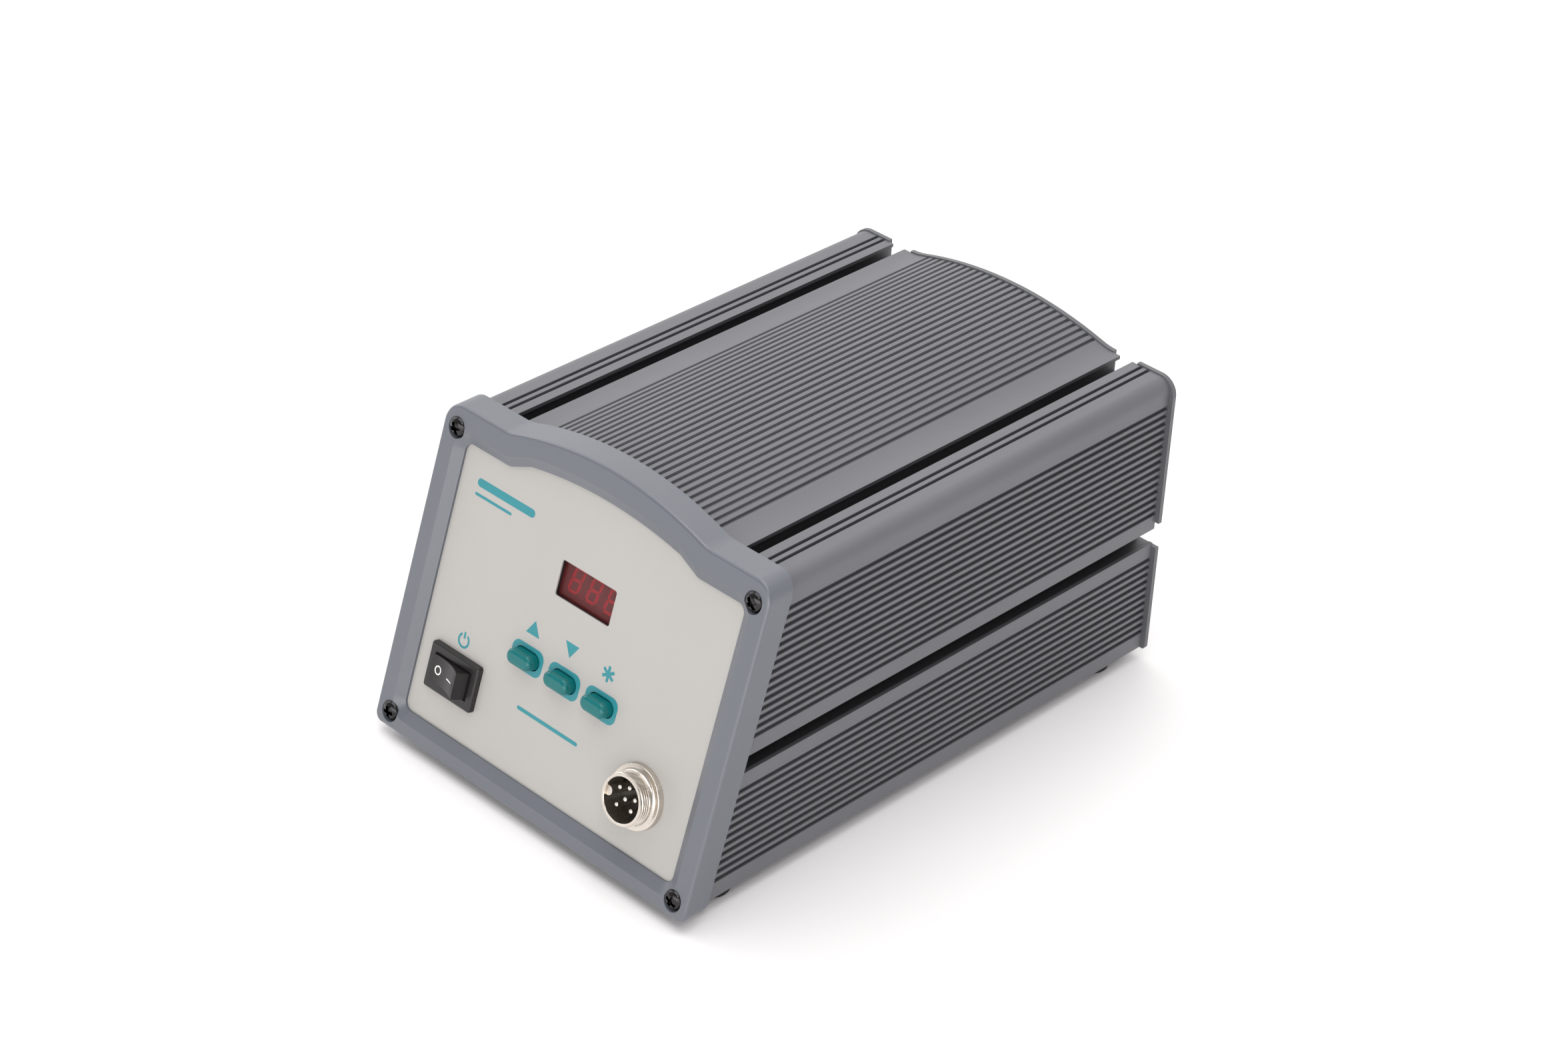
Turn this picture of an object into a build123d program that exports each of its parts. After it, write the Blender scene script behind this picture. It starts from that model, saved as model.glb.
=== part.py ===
import math
import os

from build123d import *

os.makedirs("parts", exist_ok=True)

# Housing: one extruded section, a shallow ribbed dome between two flat shelves
body_w = 131.1
body_h = 98.2
body_d = 200.9
half_w = body_w / 2
dome_in = 25.75
dome_half = half_w - dome_in
dome_rise = 5.9
dome_blend = 20.0
top_r = 4.5
low_r = 1.0
wall = 2.4
channel_wall = 1.8
lean = 17.18
s_lean = math.sin(math.radians(lean))
c_lean = math.cos(math.radians(lean))
t_lean = math.tan(math.radians(lean))

# Accessory channels running the length of the housing
slot_in = 17.8
slot_x = half_w - slot_in
slot_w = 4.9
slot_lip = 1.2
slot_deep = 7.0
slot_under = 1.9
side_slot_z = 42.35
side_slot_w = 5.3
side_slot_lip = 1.4
side_slot_deep = 7.4
side_slot_under = 1.4

# Fine grooves between the ribs
groove_w = 1.35
side_groove_w = 1.65
groove_deep = 0.9
groove_wall_angle = 76
groove_over = 0.1
dome_pitch = 2.7
dome_margin = 6.0
dome_grooves = int((2 * dome_half - dome_margin) / dome_pitch)
side_pitch = 2.705
low_groove_z = 6.8
low_grooves = 11
high_groove_z = 51.0
high_margin = 9.0
high_grooves = 1 + int((body_h - high_margin - high_groove_z) / side_pitch)
shelf_groove_in = (11.45, 8.7)

# Screw ports along the housing, and the guides that hold the main board
port_in = 3.7
port_x = half_w - port_in
port_low = 4.4
port_down = 4.5
port_high = body_h - port_down
port_boss_r = 3.2
port_r = 1.5
guide_down = 26.2
guide_z = body_h - guide_down
guide_reach = 2.5
guide_rib = 1.2
guide_gap = 1.9

# Front bezel
bezel_side = 2.2
bezel_top = 2.15
bezel_crown = 2.2
bezel_dome_out = 1.5
bezel_w = body_w + 2 * bezel_side
bezel_shelf = body_h + bezel_top
bezel_apex = body_h + dome_rise + bezel_crown
bezel_dome = dome_half + bezel_dome_out
bezel_blend = 12.0
bezel_r = 6.4
bezel_low_r = 3.0
bezel_drop = 0.8
bezel_face = 2.8
bezel_back = 6.0
bezel_edge_r = 1.0
bezel_fit = 0.3
slope_w = 3.3
lip_t = 0.8
lip_hold = 1.2

# Face of the front: printed overlay on a thin plate
panel_side = 9.4
panel_top = 10.84
panel_crown = 10.76
panel_dome_in = 0.6
panel_knee_in = 8.2
panel_knee_down = 2.9
panel_w = bezel_w - 2 * panel_side
panel_low = 6.4
panel_shelf = bezel_shelf / c_lean - panel_top
panel_apex = bezel_apex / c_lean - panel_crown
panel_dome = dome_half - panel_dome_in
panel_knee = panel_dome - panel_knee_in
panel_knee_v = panel_apex - panel_knee_down
panel_r = 3.0
panel_blend = 5.0
panel_fit = 0.1
overlay_t = 0.5
backing_t = 1.0

# Display
window_w = 22.8
window_h = 11.2
window_v = 71.38
window_r = 0.8
filter_w = 30.0
filter_h = 18.0
filter_t = 2.0
led_w = 22.5
led_h = 14.0
led_t = 7.0

# Buttons and the small switches behind them
button_u = 15.82
button_v = 42.95
button_w = 10.0
button_h = 5.0
button_out = 4.2
button_edge_r = 1.4
button_gap = 0.3
button_rim = 1.3
button_rim_t = 1.0
button_rim_gap = 0.5
stem_r = 2.0
tact_w = 6.0
tact_t = 3.5
plunger_r = 1.7
plunger_fit = 0.05
plunger_out = 1.5
plunger_in = 0.6
plunger_well = 1.6

# Display board on standoffs
board_w = 64.0
board_h = 50.0
board_v = 58.5
board_t = 1.6
standoff_u = 28.5
standoff_v = 21.6
standoff_across = 5.5
standoff_r = 1.3

# Rocker switch
rocker_in = 16.65
rocker_u = rocker_in - panel_w / 2
rocker_v = 24.9
rocker_frame_w = 21.0
rocker_frame_h = 15.0
rocker_frame_t = 2.0
rocker_frame_r = 1.0
rocker_frame_edge = 0.7
rocker_body_w = 19.0
rocker_body_h = 12.8
rocker_body_t = 13.0
rocker_well_w = 15.9
rocker_well_h = 9.2
rocker_well_t = 10.0
rocker_hinge_t = 0.5
rocker_tilt = 13.0
rocker_tip = 6.9
rocker_tip_t = 4.2
rocker_dip_t = 2.9
rocker_heel = 7.4
rocker_heel_t = 0.8
rocker_gap = 0.3
trunnion_r = 1.25
trunnion_fit = 0.05
trunnion_reach = 0.9
rocker_cut_fit = 0.1
tab_w = 4.8
tab_t = 0.8
tab_out = 7.0
tab_u = 5.0

# Round connector for the iron
plug_in = 20.3
plug_u = panel_w / 2 - plug_in
plug_v = 24.6
plug_flange_r = 9.9
plug_flange_t = 2.1
plug_flange_edge = 0.3
plug_out = 7.3
plug_thread_r = 8.0
plug_neck_r = 7.7
plug_neck_t = 1.2
plug_chamfer = 0.3
plug_bore_r = 6.85
plug_tail = 9.0
plug_hole_fit = 0.1
insert_fit = 0.05
insert_face = 0.5
insert_tail = 8.0
key_r = 1.5
key_at = 6.2
key_out = 6.3
pin_r = 0.7
pin_ring = 3.9
pin_angles = (140, 81, 21, -37, -132)
pin_out = 5.8
pin_tail = 12.0
plug_washer_r = 10.5
plug_washer_t = 0.8
plug_nut_across = 20.0
plug_nut_t = 2.8

# Rear plate
plate_t = 1.5
plate_side = 1.4
plate_top = 0.4
notch_reach = 5.15
notch_margin = 4.35
notch_in = slot_x - notch_reach
notch_out = slot_x + notch_margin
notch_floor = body_h - slot_deep
side_notch_down = 4.05
side_notch_up = 4.95
side_notch_low = side_slot_z - side_notch_down
side_notch_high = side_slot_z + side_notch_up
side_notch_x = half_w - side_slot_deep

# Mains inlet on the rear plate
inlet_in = 33.55
inlet_x = half_w - inlet_in
inlet_z = 28.0
inlet_flange_w = 50.0
inlet_flange_h = 23.0
inlet_flange_t = 2.5
inlet_screw_x = 20.0
inlet_body_w = 27.0
inlet_body_h = 19.6
inlet_body_t = 17.0
inlet_well_w = 24.0
inlet_well_h = 15.8
inlet_well_t = 14.0
inlet_chamfer = 4.0
blade_w = 2.0
blade_h = 4.0
blade_x = 7.0
blade_low = -2.0
blade_high = 2.0
blade_tip = 1.5
blade_tail = 24.0
blade_fit = 0.05

# Fuse holder on the rear plate
fuse_x = -12.0
fuse_z = 28.0
fuse_flange_r = 8.0
fuse_flange_t = 2.0
fuse_body_r = 6.2
fuse_body_t = 22.0
fuse_bore_r = 5.0
fuse_cap_r = 6.8
fuse_cap_out = 9.5
fuse_skirt_r = 4.9
fuse_skirt_t = 4.0
fuse_r = 2.6
fuse_len = 20.0
fuse_fit = 0.1
fuse_end = 17.0
fuse_slot_w = 1.4
fuse_slot_t = 1.2
fuse_edge_r = 0.8
fuse_nut_across = 17.0
fuse_nut_t = 3.0

# Earth bonding jack on the rear plate
jack_in = 23.55
jack_x = jack_in - half_w
jack_z = 28.0
jack_flange_r = 6.0
jack_flange_t = 3.0
jack_body_r = 3.9
jack_body_t = 14.0
jack_bore_r = 2.05
jack_bore_t = 12.0
jack_fit = 0.1
jack_nut_across = 11.0
jack_nut_t = 3.0

# Screws
m3_r = 1.45
m3_hole_r = 1.7
m3_head_r = 3.0
m3_head_t = 2.0
m3_head_edge = 1.1
bezel_seat = 1.0
bezel_screw_len = 16.0
spot_r = 3.3
rear_screw_len = 10.0
board_screw_r = 1.25
board_screw_len = 5.0
inlet_screw_len = 9.0
m3_nut_across = 5.5
m3_nut_t = 2.4
m4_r = 2.0
m4_hole_r = 2.2
m4_head_r = 3.5
m4_head_t = 2.2
m4_len = 8.6
m4_nut_across = 7.0
m4_nut_t = 3.2
nut_fit = 0.05

# Feet
foot_h = 4.5
foot_r = 6.0
foot_edge_r = 0.8
foot_in = 9.05
foot_x = half_w - foot_in
foot_front = 19.0
foot_back = 13.9
foot_rear = body_d - foot_back
foot_seat = 2.2
foot_well_r = 3.2
foot_hole_r = 1.6
foot_screw_len = 6.6
foot_head_r = 2.8
foot_head_t = 1.6
foot_head_edge = 0.6

# Transformer standing on the housing floor
strap_t = 1.5
core_room = 6.1
core_w = 76.0
core_h = guide_z - wall - strap_t - core_room
core_t = 36.0
core_leg = 24.0
core_window_w = 13.0
core_window_h = core_h - core_leg
core_back = 66.0
bobbin_t = 1.2
bobbin_fit = 0.1
bobbin_out = 12.0
coil_r = 6.0
coil_back = 1.0
strap_w = 30.0
strap_foot = 14.0
strap_fit = 0.1
bolt_y = 9.0

# Main board and what stands on it
main_front = 42.0
main_back = 14.0
main_fit = 0.3
sink_w = 32.0
sink_base = 2.5
sink_h = 18.0
sink_fins = 6
sink_fin_t = 1.4
sink_fin_reach = 10.0
sink_y = 62.0
triac_w = 10.0
triac_tab_h = 15.6
triac_tab_t = 1.3
triac_body_h = 9.0
triac_body_t = 4.5
triac_lift = 2.0
triac_leg_w = 0.8
triac_leg_pitch = 2.54
cap_r = 8.0
cap_h = 20.0
cap_edge_r = 0.8
cap_gap = 1.6
cap_x = slot_x - slot_w / 2 - slot_under - channel_wall - cap_gap - cap_r
cap_y = 90.0
bridge_w = 20.0
bridge_t = 5.0
bridge_h = 14.0
bridge_x = cap_x
bridge_y = 118.0
chip_w = 35.0
chip_d = 7.6
chip_t = 4.0
chip_x = -25.0
chip_y = 85.0
chip_notch_r = 1.2
header_w = 24.0
header_d = 7.5
header_h = 9.0
header_x = -20.0
header_y = 130.0
header_poles = 4
header_well_r = 1.8
header_well_t = 5.0

panel_t = overlay_t + backing_t

# The origin lies under the middle of the whole object: half way between the rounded
# lower front edge of the bezel and the fuse cap at the rear
nose_t = bezel_face - bezel_edge_r
nose_v = (bezel_edge_r - bezel_drop - nose_t * s_lean) / c_lean
nose_y = nose_v * s_lean - nose_t * c_lean - bezel_edge_r
tail_y = body_d + plate_t + fuse_cap_out
front_y = -(nose_y + tail_y) / 2
rear_y = front_y + body_d
base_z = foot_h
floor_z = base_z + wall

# The leaning front face, the upright section of the housing and the rear plate's outer face
face = Plane(origin=(0, front_y, base_z), x_dir=(1, 0, 0), z_dir=(0, -c_lean, s_lean))
section = Plane(origin=(0, rear_y, base_z), x_dir=(1, 0, 0), z_dir=(0, -1, 0))
rear = Plane(origin=(0, rear_y + plate_t, base_z), x_dir=(-1, 0, 0), z_dir=(0, 1, 0))
rear_inside = Plane(origin=(0, rear_y, base_z), x_dir=(1, 0, 0), z_dir=(0, -1, 0))
under = Plane(origin=(0, 0, base_z), x_dir=(1, 0, 0), z_dir=(0, 0, -1))
floor = Plane.XY.offset(floor_z)


def domed(half, low, shelf, dome, apex, r_top, r_low, r_blend, knee):
    # Flat bottom and sides, a shelf each side, and one shallow dome between them
    arc_end = knee if knee else (dome, shelf)
    with BuildSketch() as shape:
        with BuildLine():
            Polyline(
                (dome, shelf), (half, shelf), (half, low),
                (-half, low), (-half, shelf), (-dome, shelf),
            )
            if knee:
                Line(knee, (dome, shelf))
                Line((-knee[0], knee[1]), (-dome, shelf))
            ThreePointArc((-arc_end[0], arc_end[1]), (0, apex), arc_end)
        make_face()
        outer = shape.vertices().filter_by(lambda p: abs(p.X) > half - 0.01)
        fillet(outer.filter_by(lambda p: p.Y > low + 1), r_top)
        outer = shape.vertices().filter_by(lambda p: abs(p.X) > half - 0.01)
        fillet(outer.filter_by(lambda p: p.Y < low + 0.01), r_low)
        if r_blend:
            ends = shape.vertices().filter_by(lambda p: abs(abs(p.X) - dome) < 0.01)
            fillet(ends, r_blend)
    return shape.sketch


def panel_shape(grow):
    # Outline of the bezel's opening, grown by a margin
    return domed(
        panel_w / 2 + grow, panel_low - grow, panel_shelf + grow, panel_dome, panel_apex + grow,
        panel_r + grow, panel_r + grow, panel_blend, (panel_knee, panel_knee_v + grow),
    )


def panel_cuts():
    # Everything that passes through the face: display, buttons, switch and connector
    with BuildSketch() as cuts:
        with Locations((0, window_v)):
            RectangleRounded(window_w, window_h, window_r)
        with Locations((-button_u, button_v), (0, button_v), (button_u, button_v)):
            SlotOverall(button_w + 2 * button_gap, button_h + 2 * button_gap)
        with Locations((rocker_u, rocker_v)):
            Rectangle(rocker_body_w + 2 * rocker_cut_fit, rocker_body_h + 2 * rocker_cut_fit)
        with Locations((plug_u, plug_v)):
            Circle(plug_thread_r + plug_hole_fit)
    return cuts.sketch


def groove(width):
    # One groove, wide at its mouth, which lies on the section's edge at local y 0
    with BuildSketch() as cut:
        with Locations((0, groove_over)):
            Trapezoid(
                width, groove_deep + groove_over, groove_wall_angle, rotation=180,
                align=(Align.CENTER, Align.MIN),
            )
    return cut.sketch


def pan_screws(seat, points, head_r, head_t, edge_r, shank_r, length):
    # Rounded heads standing on the seat plane, shanks running down from it
    with BuildPart() as group:
        with BuildSketch(seat):
            with Locations(*points):
                Circle(head_r)
        extrude(amount=head_t)
        fillet(group.edges().group_by(Axis(seat.origin, seat.z_dir))[-1], edge_r)
        with BuildSketch(seat):
            with Locations(*points):
                Circle(shank_r)
        extrude(amount=-length)
    return group.part


def hex_nuts(seat, points, across, height, hole_r):
    # Plain hexagon nuts standing on the seat plane
    with BuildPart() as group:
        with BuildSketch(seat):
            with Locations(*points):
                RegularPolygon(across / 2, 6, major_radius=False)
                Circle(hole_r, mode=Mode.SUBTRACT)
        extrude(amount=height)
    return group.part


# Housing extrusion
dome_r = (dome_half ** 2 + dome_rise ** 2) / (2 * dome_rise)
dome_centre = body_h + dome_rise - dome_r
ports = [(x, z) for x in (-port_x, port_x) for z in (port_low, port_high)]
slot_bottom = body_h - slot_deep
side_slot_bottom = half_w - side_slot_deep

with BuildSketch() as cavity:
    add(domed(
        half_w - wall, wall, body_h - wall, dome_half, body_h + dome_rise - wall,
        low_r, low_r, 0, None,
    ))
    with Locations((-slot_x, slot_bottom - channel_wall), (slot_x, slot_bottom - channel_wall)):
        Rectangle(
            slot_w + 2 * slot_under + 2 * channel_wall, slot_deep + channel_wall,
            align=(Align.CENTER, Align.MIN), mode=Mode.SUBTRACT,
        )
    with Locations((half_w, side_slot_z), (-half_w, side_slot_z)):
        Rectangle(
            2 * (side_slot_deep + channel_wall), side_slot_w + 2 * side_slot_under + 2 * channel_wall,
            mode=Mode.SUBTRACT,
        )
    with Locations(*ports):
        Circle(port_boss_r, mode=Mode.SUBTRACT)
    guide_low = guide_z - guide_rib / 2
    guide_high = guide_z + guide_gap + guide_rib / 2
    with Locations(*[(x, z) for x in (-half_w, half_w) for z in (guide_low, guide_high)]):
        Rectangle(2 * (wall + guide_reach), guide_rib, mode=Mode.SUBTRACT)

dome_spots = []
for i in range(dome_grooves):
    turn = (i - (dome_grooves - 1) / 2) * dome_pitch / dome_r
    spot = (dome_r * math.sin(turn), dome_centre + dome_r * math.cos(turn))
    dome_spots.append(Location((spot[0], spot[1], 0), (0, 0, -math.degrees(turn))))
side_levels = [low_groove_z + i * side_pitch for i in range(low_grooves)]
side_levels += [high_groove_z + i * side_pitch for i in range(high_grooves)]
right_spots = [Location((half_w, z, 0), (0, 0, -90)) for z in side_levels]
left_spots = [Location((-half_w, z, 0), (0, 0, 90)) for z in side_levels]
shelf_grooves = [half_w - g for g in shelf_groove_in]
shelf_spots = [Location((x, body_h, 0)) for g in shelf_grooves for x in (-g, g)]

foot_spots = [
    (x, front_y + y) for y in (foot_front, foot_rear) for x in (-foot_x, foot_x)
]
bolt_x = core_w / 2 + strap_fit + strap_t + strap_foot / 2
core_y = rear_y - core_back
bolt_spots = [(x, core_y + y) for x in (-bolt_x, bolt_x) for y in (-bolt_y, bolt_y)]

with BuildPart() as housing_extrusion:
    with BuildSketch(section):
        add(domed(
            half_w, 0, body_h, dome_half, body_h + dome_rise, top_r, low_r, dome_blend, None,
        ))
        add(cavity.sketch, mode=Mode.SUBTRACT)
        with Locations((-slot_x, body_h), (slot_x, body_h)):
            Rectangle(slot_w, 2 * slot_lip, mode=Mode.SUBTRACT)
        with Locations((-slot_x, slot_bottom), (slot_x, slot_bottom)):
            Rectangle(
                slot_w + 2 * slot_under, slot_deep - slot_lip,
                align=(Align.CENTER, Align.MIN), mode=Mode.SUBTRACT,
            )
        with Locations((-half_w, side_slot_z), (half_w, side_slot_z)):
            Rectangle(2 * side_slot_lip, side_slot_w, mode=Mode.SUBTRACT)
        channel_mid = half_w - (side_slot_lip + side_slot_deep) / 2
        with Locations((-channel_mid, side_slot_z), (channel_mid, side_slot_z)):
            Rectangle(
                side_slot_deep - side_slot_lip, side_slot_w + 2 * side_slot_under,
                mode=Mode.SUBTRACT,
            )
        with Locations(*ports):
            Circle(port_r, mode=Mode.SUBTRACT)
        with Locations(*dome_spots, *shelf_spots):
            add(groove(groove_w), mode=Mode.SUBTRACT)
        with Locations(*right_spots, *left_spots):
            add(groove(side_groove_w), mode=Mode.SUBTRACT)
    extrude(amount=body_d + bezel_face)
    split(bisect_by=face.offset(-panel_t), keep=Keep.BOTTOM)
    with BuildSketch(Plane.XY.offset(base_z)):
        with Locations(*foot_spots):
            Circle(port_r)
        with Locations(*bolt_spots):
            Circle(m4_hole_r)
    extrude(amount=wall, mode=Mode.SUBTRACT)

# Front bezel
face_axis = Axis(face.origin, face.z_dir)
seat_gap = bezel_face / c_lean - bezel_seat
high_seat = Plane(
    origin=(0, front_y + port_high * t_lean - seat_gap, base_z), x_dir=(1, 0, 0), z_dir=(0, -1, 0)
)
low_seat = Plane(
    origin=(0, front_y + port_low * t_lean - seat_gap, base_z), x_dir=(1, 0, 0), z_dir=(0, -1, 0)
)
high_points = [(-port_x, port_high), (port_x, port_high)]
low_points = [(-port_x, port_low), (port_x, port_low)]

with BuildPart() as front_bezel:
    with BuildSketch(section):
        add(domed(
            bezel_w / 2, -bezel_drop, bezel_shelf, bezel_dome, bezel_apex,
            bezel_r, bezel_low_r, bezel_blend, None,
        ))
    extrude(amount=body_d + 2 * bezel_back)
    split(bisect_by=face.offset(bezel_face), keep=Keep.BOTTOM)
    split(bisect_by=face.offset(-bezel_back), keep=Keep.TOP)
    front_rim = front_bezel.faces().filter_by(face).sort_by(face_axis)[-1]
    fillet(front_rim.outer_wire().edges(), bezel_edge_r)
    with BuildSketch(face.offset(lip_t)):
        add(panel_shape(0))
    with BuildSketch(face.offset(bezel_face)):
        add(panel_shape(slope_w))
    loft(ruled=True, mode=Mode.SUBTRACT)
    with BuildSketch(face.offset(lip_t)):
        add(panel_shape(0))
    extrude(amount=-lip_t, mode=Mode.SUBTRACT)
    with BuildSketch(face):
        add(panel_shape(lip_hold))
    extrude(amount=-panel_t, mode=Mode.SUBTRACT)
    with BuildPart(mode=Mode.PRIVATE) as skirt_room:
        with BuildSketch(section):
            add(domed(
                half_w + bezel_fit, -2 * bezel_drop, body_h + bezel_fit, dome_half,
                body_h + dome_rise + bezel_fit, top_r + bezel_fit, low_r, dome_blend, None,
            ))
        extrude(amount=body_d + 2 * bezel_back)
        split(bisect_by=face.offset(-panel_t), keep=Keep.BOTTOM)
    add(skirt_room.part, mode=Mode.SUBTRACT)
    with BuildSketch(section):
        with Locations(*ports):
            Circle(m3_hole_r)
    extrude(amount=body_d + 2 * bezel_back, mode=Mode.SUBTRACT)
    with BuildSketch(high_seat):
        with Locations(*high_points):
            Circle(spot_r)
    extrude(amount=bezel_back, mode=Mode.SUBTRACT)
    with BuildSketch(low_seat):
        with Locations(*low_points):
            Circle(spot_r)
    extrude(amount=bezel_back, mode=Mode.SUBTRACT)

with BuildPart() as bezel_screws:
    add(pan_screws(high_seat, high_points, m3_head_r, m3_head_t, m3_head_edge, m3_r, bezel_screw_len))
    add(pan_screws(low_seat, low_points, m3_head_r, m3_head_t, m3_head_edge, m3_r, bezel_screw_len))

# Face overlay and its backing plate
with BuildPart() as face_overlay:
    with BuildSketch(face):
        add(panel_shape(lip_hold - panel_fit))
        add(panel_cuts(), mode=Mode.SUBTRACT)
    extrude(amount=-overlay_t)

with BuildPart() as panel_backing:
    with BuildSketch(face.offset(-overlay_t)):
        add(panel_shape(lip_hold - panel_fit))
        add(panel_cuts(), mode=Mode.SUBTRACT)
    extrude(amount=-backing_t)

# Display window, display and its board
filter_back = panel_t + filter_t
board_front = filter_back + led_t
with BuildPart() as display_window:
    with BuildSketch(face.offset(-panel_t)):
        with Locations((0, window_v)):
            RectangleRounded(filter_w, filter_h, window_r)
    extrude(amount=-filter_t)

with BuildPart() as led_display:
    with BuildSketch(face.offset(-filter_back)):
        with Locations((0, window_v)):
            Rectangle(led_w, led_h)
    extrude(amount=-led_t)

standoff_spots = [
    (u, board_v + v) for u in (-standoff_u, standoff_u) for v in (-standoff_v, standoff_v)
]
with BuildPart() as display_board:
    with BuildSketch(face.offset(-board_front)):
        with Locations((0, board_v)):
            RectangleRounded(board_w, board_h, board_t)
        with Locations(*standoff_spots):
            Circle(m3_hole_r, mode=Mode.SUBTRACT)
    extrude(amount=-board_t)

with BuildPart() as board_standoffs:
    add(hex_nuts(
        face.offset(-board_front), standoff_spots, standoff_across, board_front - panel_t, standoff_r,
    ))

board_back = face.offset(-board_front - board_t)
back_seat = Plane(origin=board_back.origin, x_dir=(-1, 0, 0), z_dir=-board_back.z_dir)
with BuildPart() as board_screws:
    add(pan_screws(
        back_seat, [(-u, v) for u, v in standoff_spots],
        m3_head_r, m3_head_t, m3_head_edge, board_screw_r, board_screw_len,
    ))

# Push buttons: a cap held behind the face by its rim, and a plunger in a small switch
button_spots = {"up": -button_u, "down": 0.0, "set": button_u}
rim_front = panel_t + button_rim_gap
tact_front = board_front - tact_t
plunger_front = tact_front - plunger_out
for name, u in button_spots.items():
    with BuildPart() as cap:
        with BuildSketch(face.offset(-rim_front)):
            with Locations((u, button_v)):
                SlotOverall(button_w, button_h)
        extrude(amount=rim_front + button_out)
        fillet(cap.edges().group_by(face_axis)[-1], button_edge_r)
        with BuildSketch(face.offset(-rim_front)):
            with Locations((u, button_v)):
                SlotOverall(button_w + 2 * button_rim, button_h + 2 * button_rim)
        extrude(amount=-button_rim_t)
        with BuildSketch(face.offset(-rim_front - button_rim_t)):
            with Locations((u, button_v)):
                Circle(stem_r)
        extrude(amount=-(plunger_front - rim_front - button_rim_t))
    cap.part.label = "button_" + name
    export_step(cap.part, "parts/button_" + name + ".step")
    with BuildPart() as plunger:
        with BuildSketch(face.offset(-plunger_front)):
            with Locations((u, button_v)):
                Circle(plunger_r)
        extrude(amount=-(plunger_out + plunger_in))
    plunger.part.label = "plunger_" + name
    export_step(plunger.part, "parts/plunger_" + name + ".step")
    with BuildPart() as tact:
        with BuildSketch(face.offset(-tact_front)):
            with Locations((u, button_v)):
                Rectangle(tact_w, tact_w)
        extrude(amount=-tact_t)
        with BuildSketch(face.offset(-tact_front)):
            with Locations((u, button_v)):
                Circle(plunger_r + plunger_fit)
        extrude(amount=-plunger_well, mode=Mode.SUBTRACT)
    tact.part.label = "tact_switch_" + name
    export_step(tact.part, "parts/tact_switch_" + name + ".step")

# Rocker switch, shown switched off
hinge = Plane(
    origin=face.from_local_coords((rocker_u, rocker_v, rocker_hinge_t)),
    x_dir=(1, 0, 0), z_dir=-face.y_dir,
)
tilted = Plane(
    origin=hinge.origin, x_dir=hinge.x_dir.rotate(Axis((0, 0, 0), hinge.z_dir), rocker_tilt),
    z_dir=hinge.z_dir,
)
paddle_half = rocker_well_h / 2 - rocker_gap
trunnion_half = rocker_well_h / 2 + trunnion_reach
with BuildPart() as rocker_frame:
    with BuildSketch(face):
        with Locations((rocker_u, rocker_v)):
            RectangleRounded(rocker_frame_w, rocker_frame_h, rocker_frame_r)
    extrude(amount=rocker_frame_t)
    fillet(rocker_frame.edges().group_by(face_axis)[-1], rocker_frame_edge)
    with BuildSketch(face):
        with Locations((rocker_u, rocker_v)):
            Rectangle(rocker_body_w, rocker_body_h)
    extrude(amount=-rocker_body_t)
    with BuildSketch(face.offset(rocker_frame_t)):
        with Locations((rocker_u, rocker_v)):
            Rectangle(rocker_well_w, rocker_well_h)
    extrude(amount=-(rocker_frame_t + rocker_well_t), mode=Mode.SUBTRACT)
    with BuildSketch(hinge):
        Circle(trunnion_r + trunnion_fit)
    extrude(amount=trunnion_half + trunnion_fit, both=True, mode=Mode.SUBTRACT)
    with BuildSketch(face.offset(-rocker_well_t)):
        with Locations((rocker_u - tab_u, rocker_v), (rocker_u + tab_u, rocker_v)):
            Rectangle(tab_t + 2 * blade_fit, tab_w + 2 * blade_fit)
    extrude(amount=-rocker_body_t, mode=Mode.SUBTRACT)

with BuildPart() as rocker_paddle:
    with BuildSketch(tilted):
        with BuildLine():
            ThreePointArc(
                (-rocker_tip, rocker_tip_t), (0, rocker_dip_t), (rocker_tip, rocker_tip_t)
            )
            Polyline(
                (rocker_tip, rocker_tip_t), (rocker_heel, -rocker_heel_t),
                (-rocker_heel, -rocker_heel_t), (-rocker_tip, rocker_tip_t),
            )
        make_face()
    extrude(amount=paddle_half, both=True)
    with BuildSketch(hinge):
        Circle(trunnion_r)
    extrude(amount=trunnion_half, both=True)

with BuildPart() as rocker_tabs:
    with BuildSketch(face.offset(-rocker_well_t)):
        with Locations((rocker_u - tab_u, rocker_v), (rocker_u + tab_u, rocker_v)):
            Rectangle(tab_t, tab_w)
    extrude(amount=-(rocker_body_t - rocker_well_t + tab_out))

# Round connector: shell, insert, its metal key, pins, washer and nut
with BuildPart() as connector_shell:
    with BuildSketch(face.offset(-plug_tail)):
        with Locations((plug_u, plug_v)):
            Circle(plug_thread_r)
    extrude(amount=plug_tail)
    with BuildSketch(face):
        with Locations((plug_u, plug_v)):
            Circle(plug_flange_r)
    extrude(amount=plug_flange_t)
    fillet(connector_shell.edges().group_by(face_axis)[-1], plug_flange_edge)
    with BuildSketch(face.offset(plug_flange_t)):
        with Locations((plug_u, plug_v)):
            Circle(plug_neck_r)
    extrude(amount=plug_neck_t)
    with BuildSketch(face.offset(plug_flange_t + plug_neck_t)):
        with Locations((plug_u, plug_v)):
            Circle(plug_thread_r)
    extrude(amount=plug_out - plug_flange_t - plug_neck_t)
    chamfer(connector_shell.edges().group_by(face_axis)[-1], plug_chamfer)
    with BuildSketch(face.offset(-plug_tail)):
        with Locations((plug_u, plug_v)):
            Circle(plug_bore_r)
    extrude(amount=plug_tail + plug_out, mode=Mode.SUBTRACT)

pin_spots = [(plug_u, plug_v)]
for angle in pin_angles:
    turn = math.radians(angle)
    pin_spots.append((plug_u + pin_ring * math.cos(turn), plug_v + pin_ring * math.sin(turn)))

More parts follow.
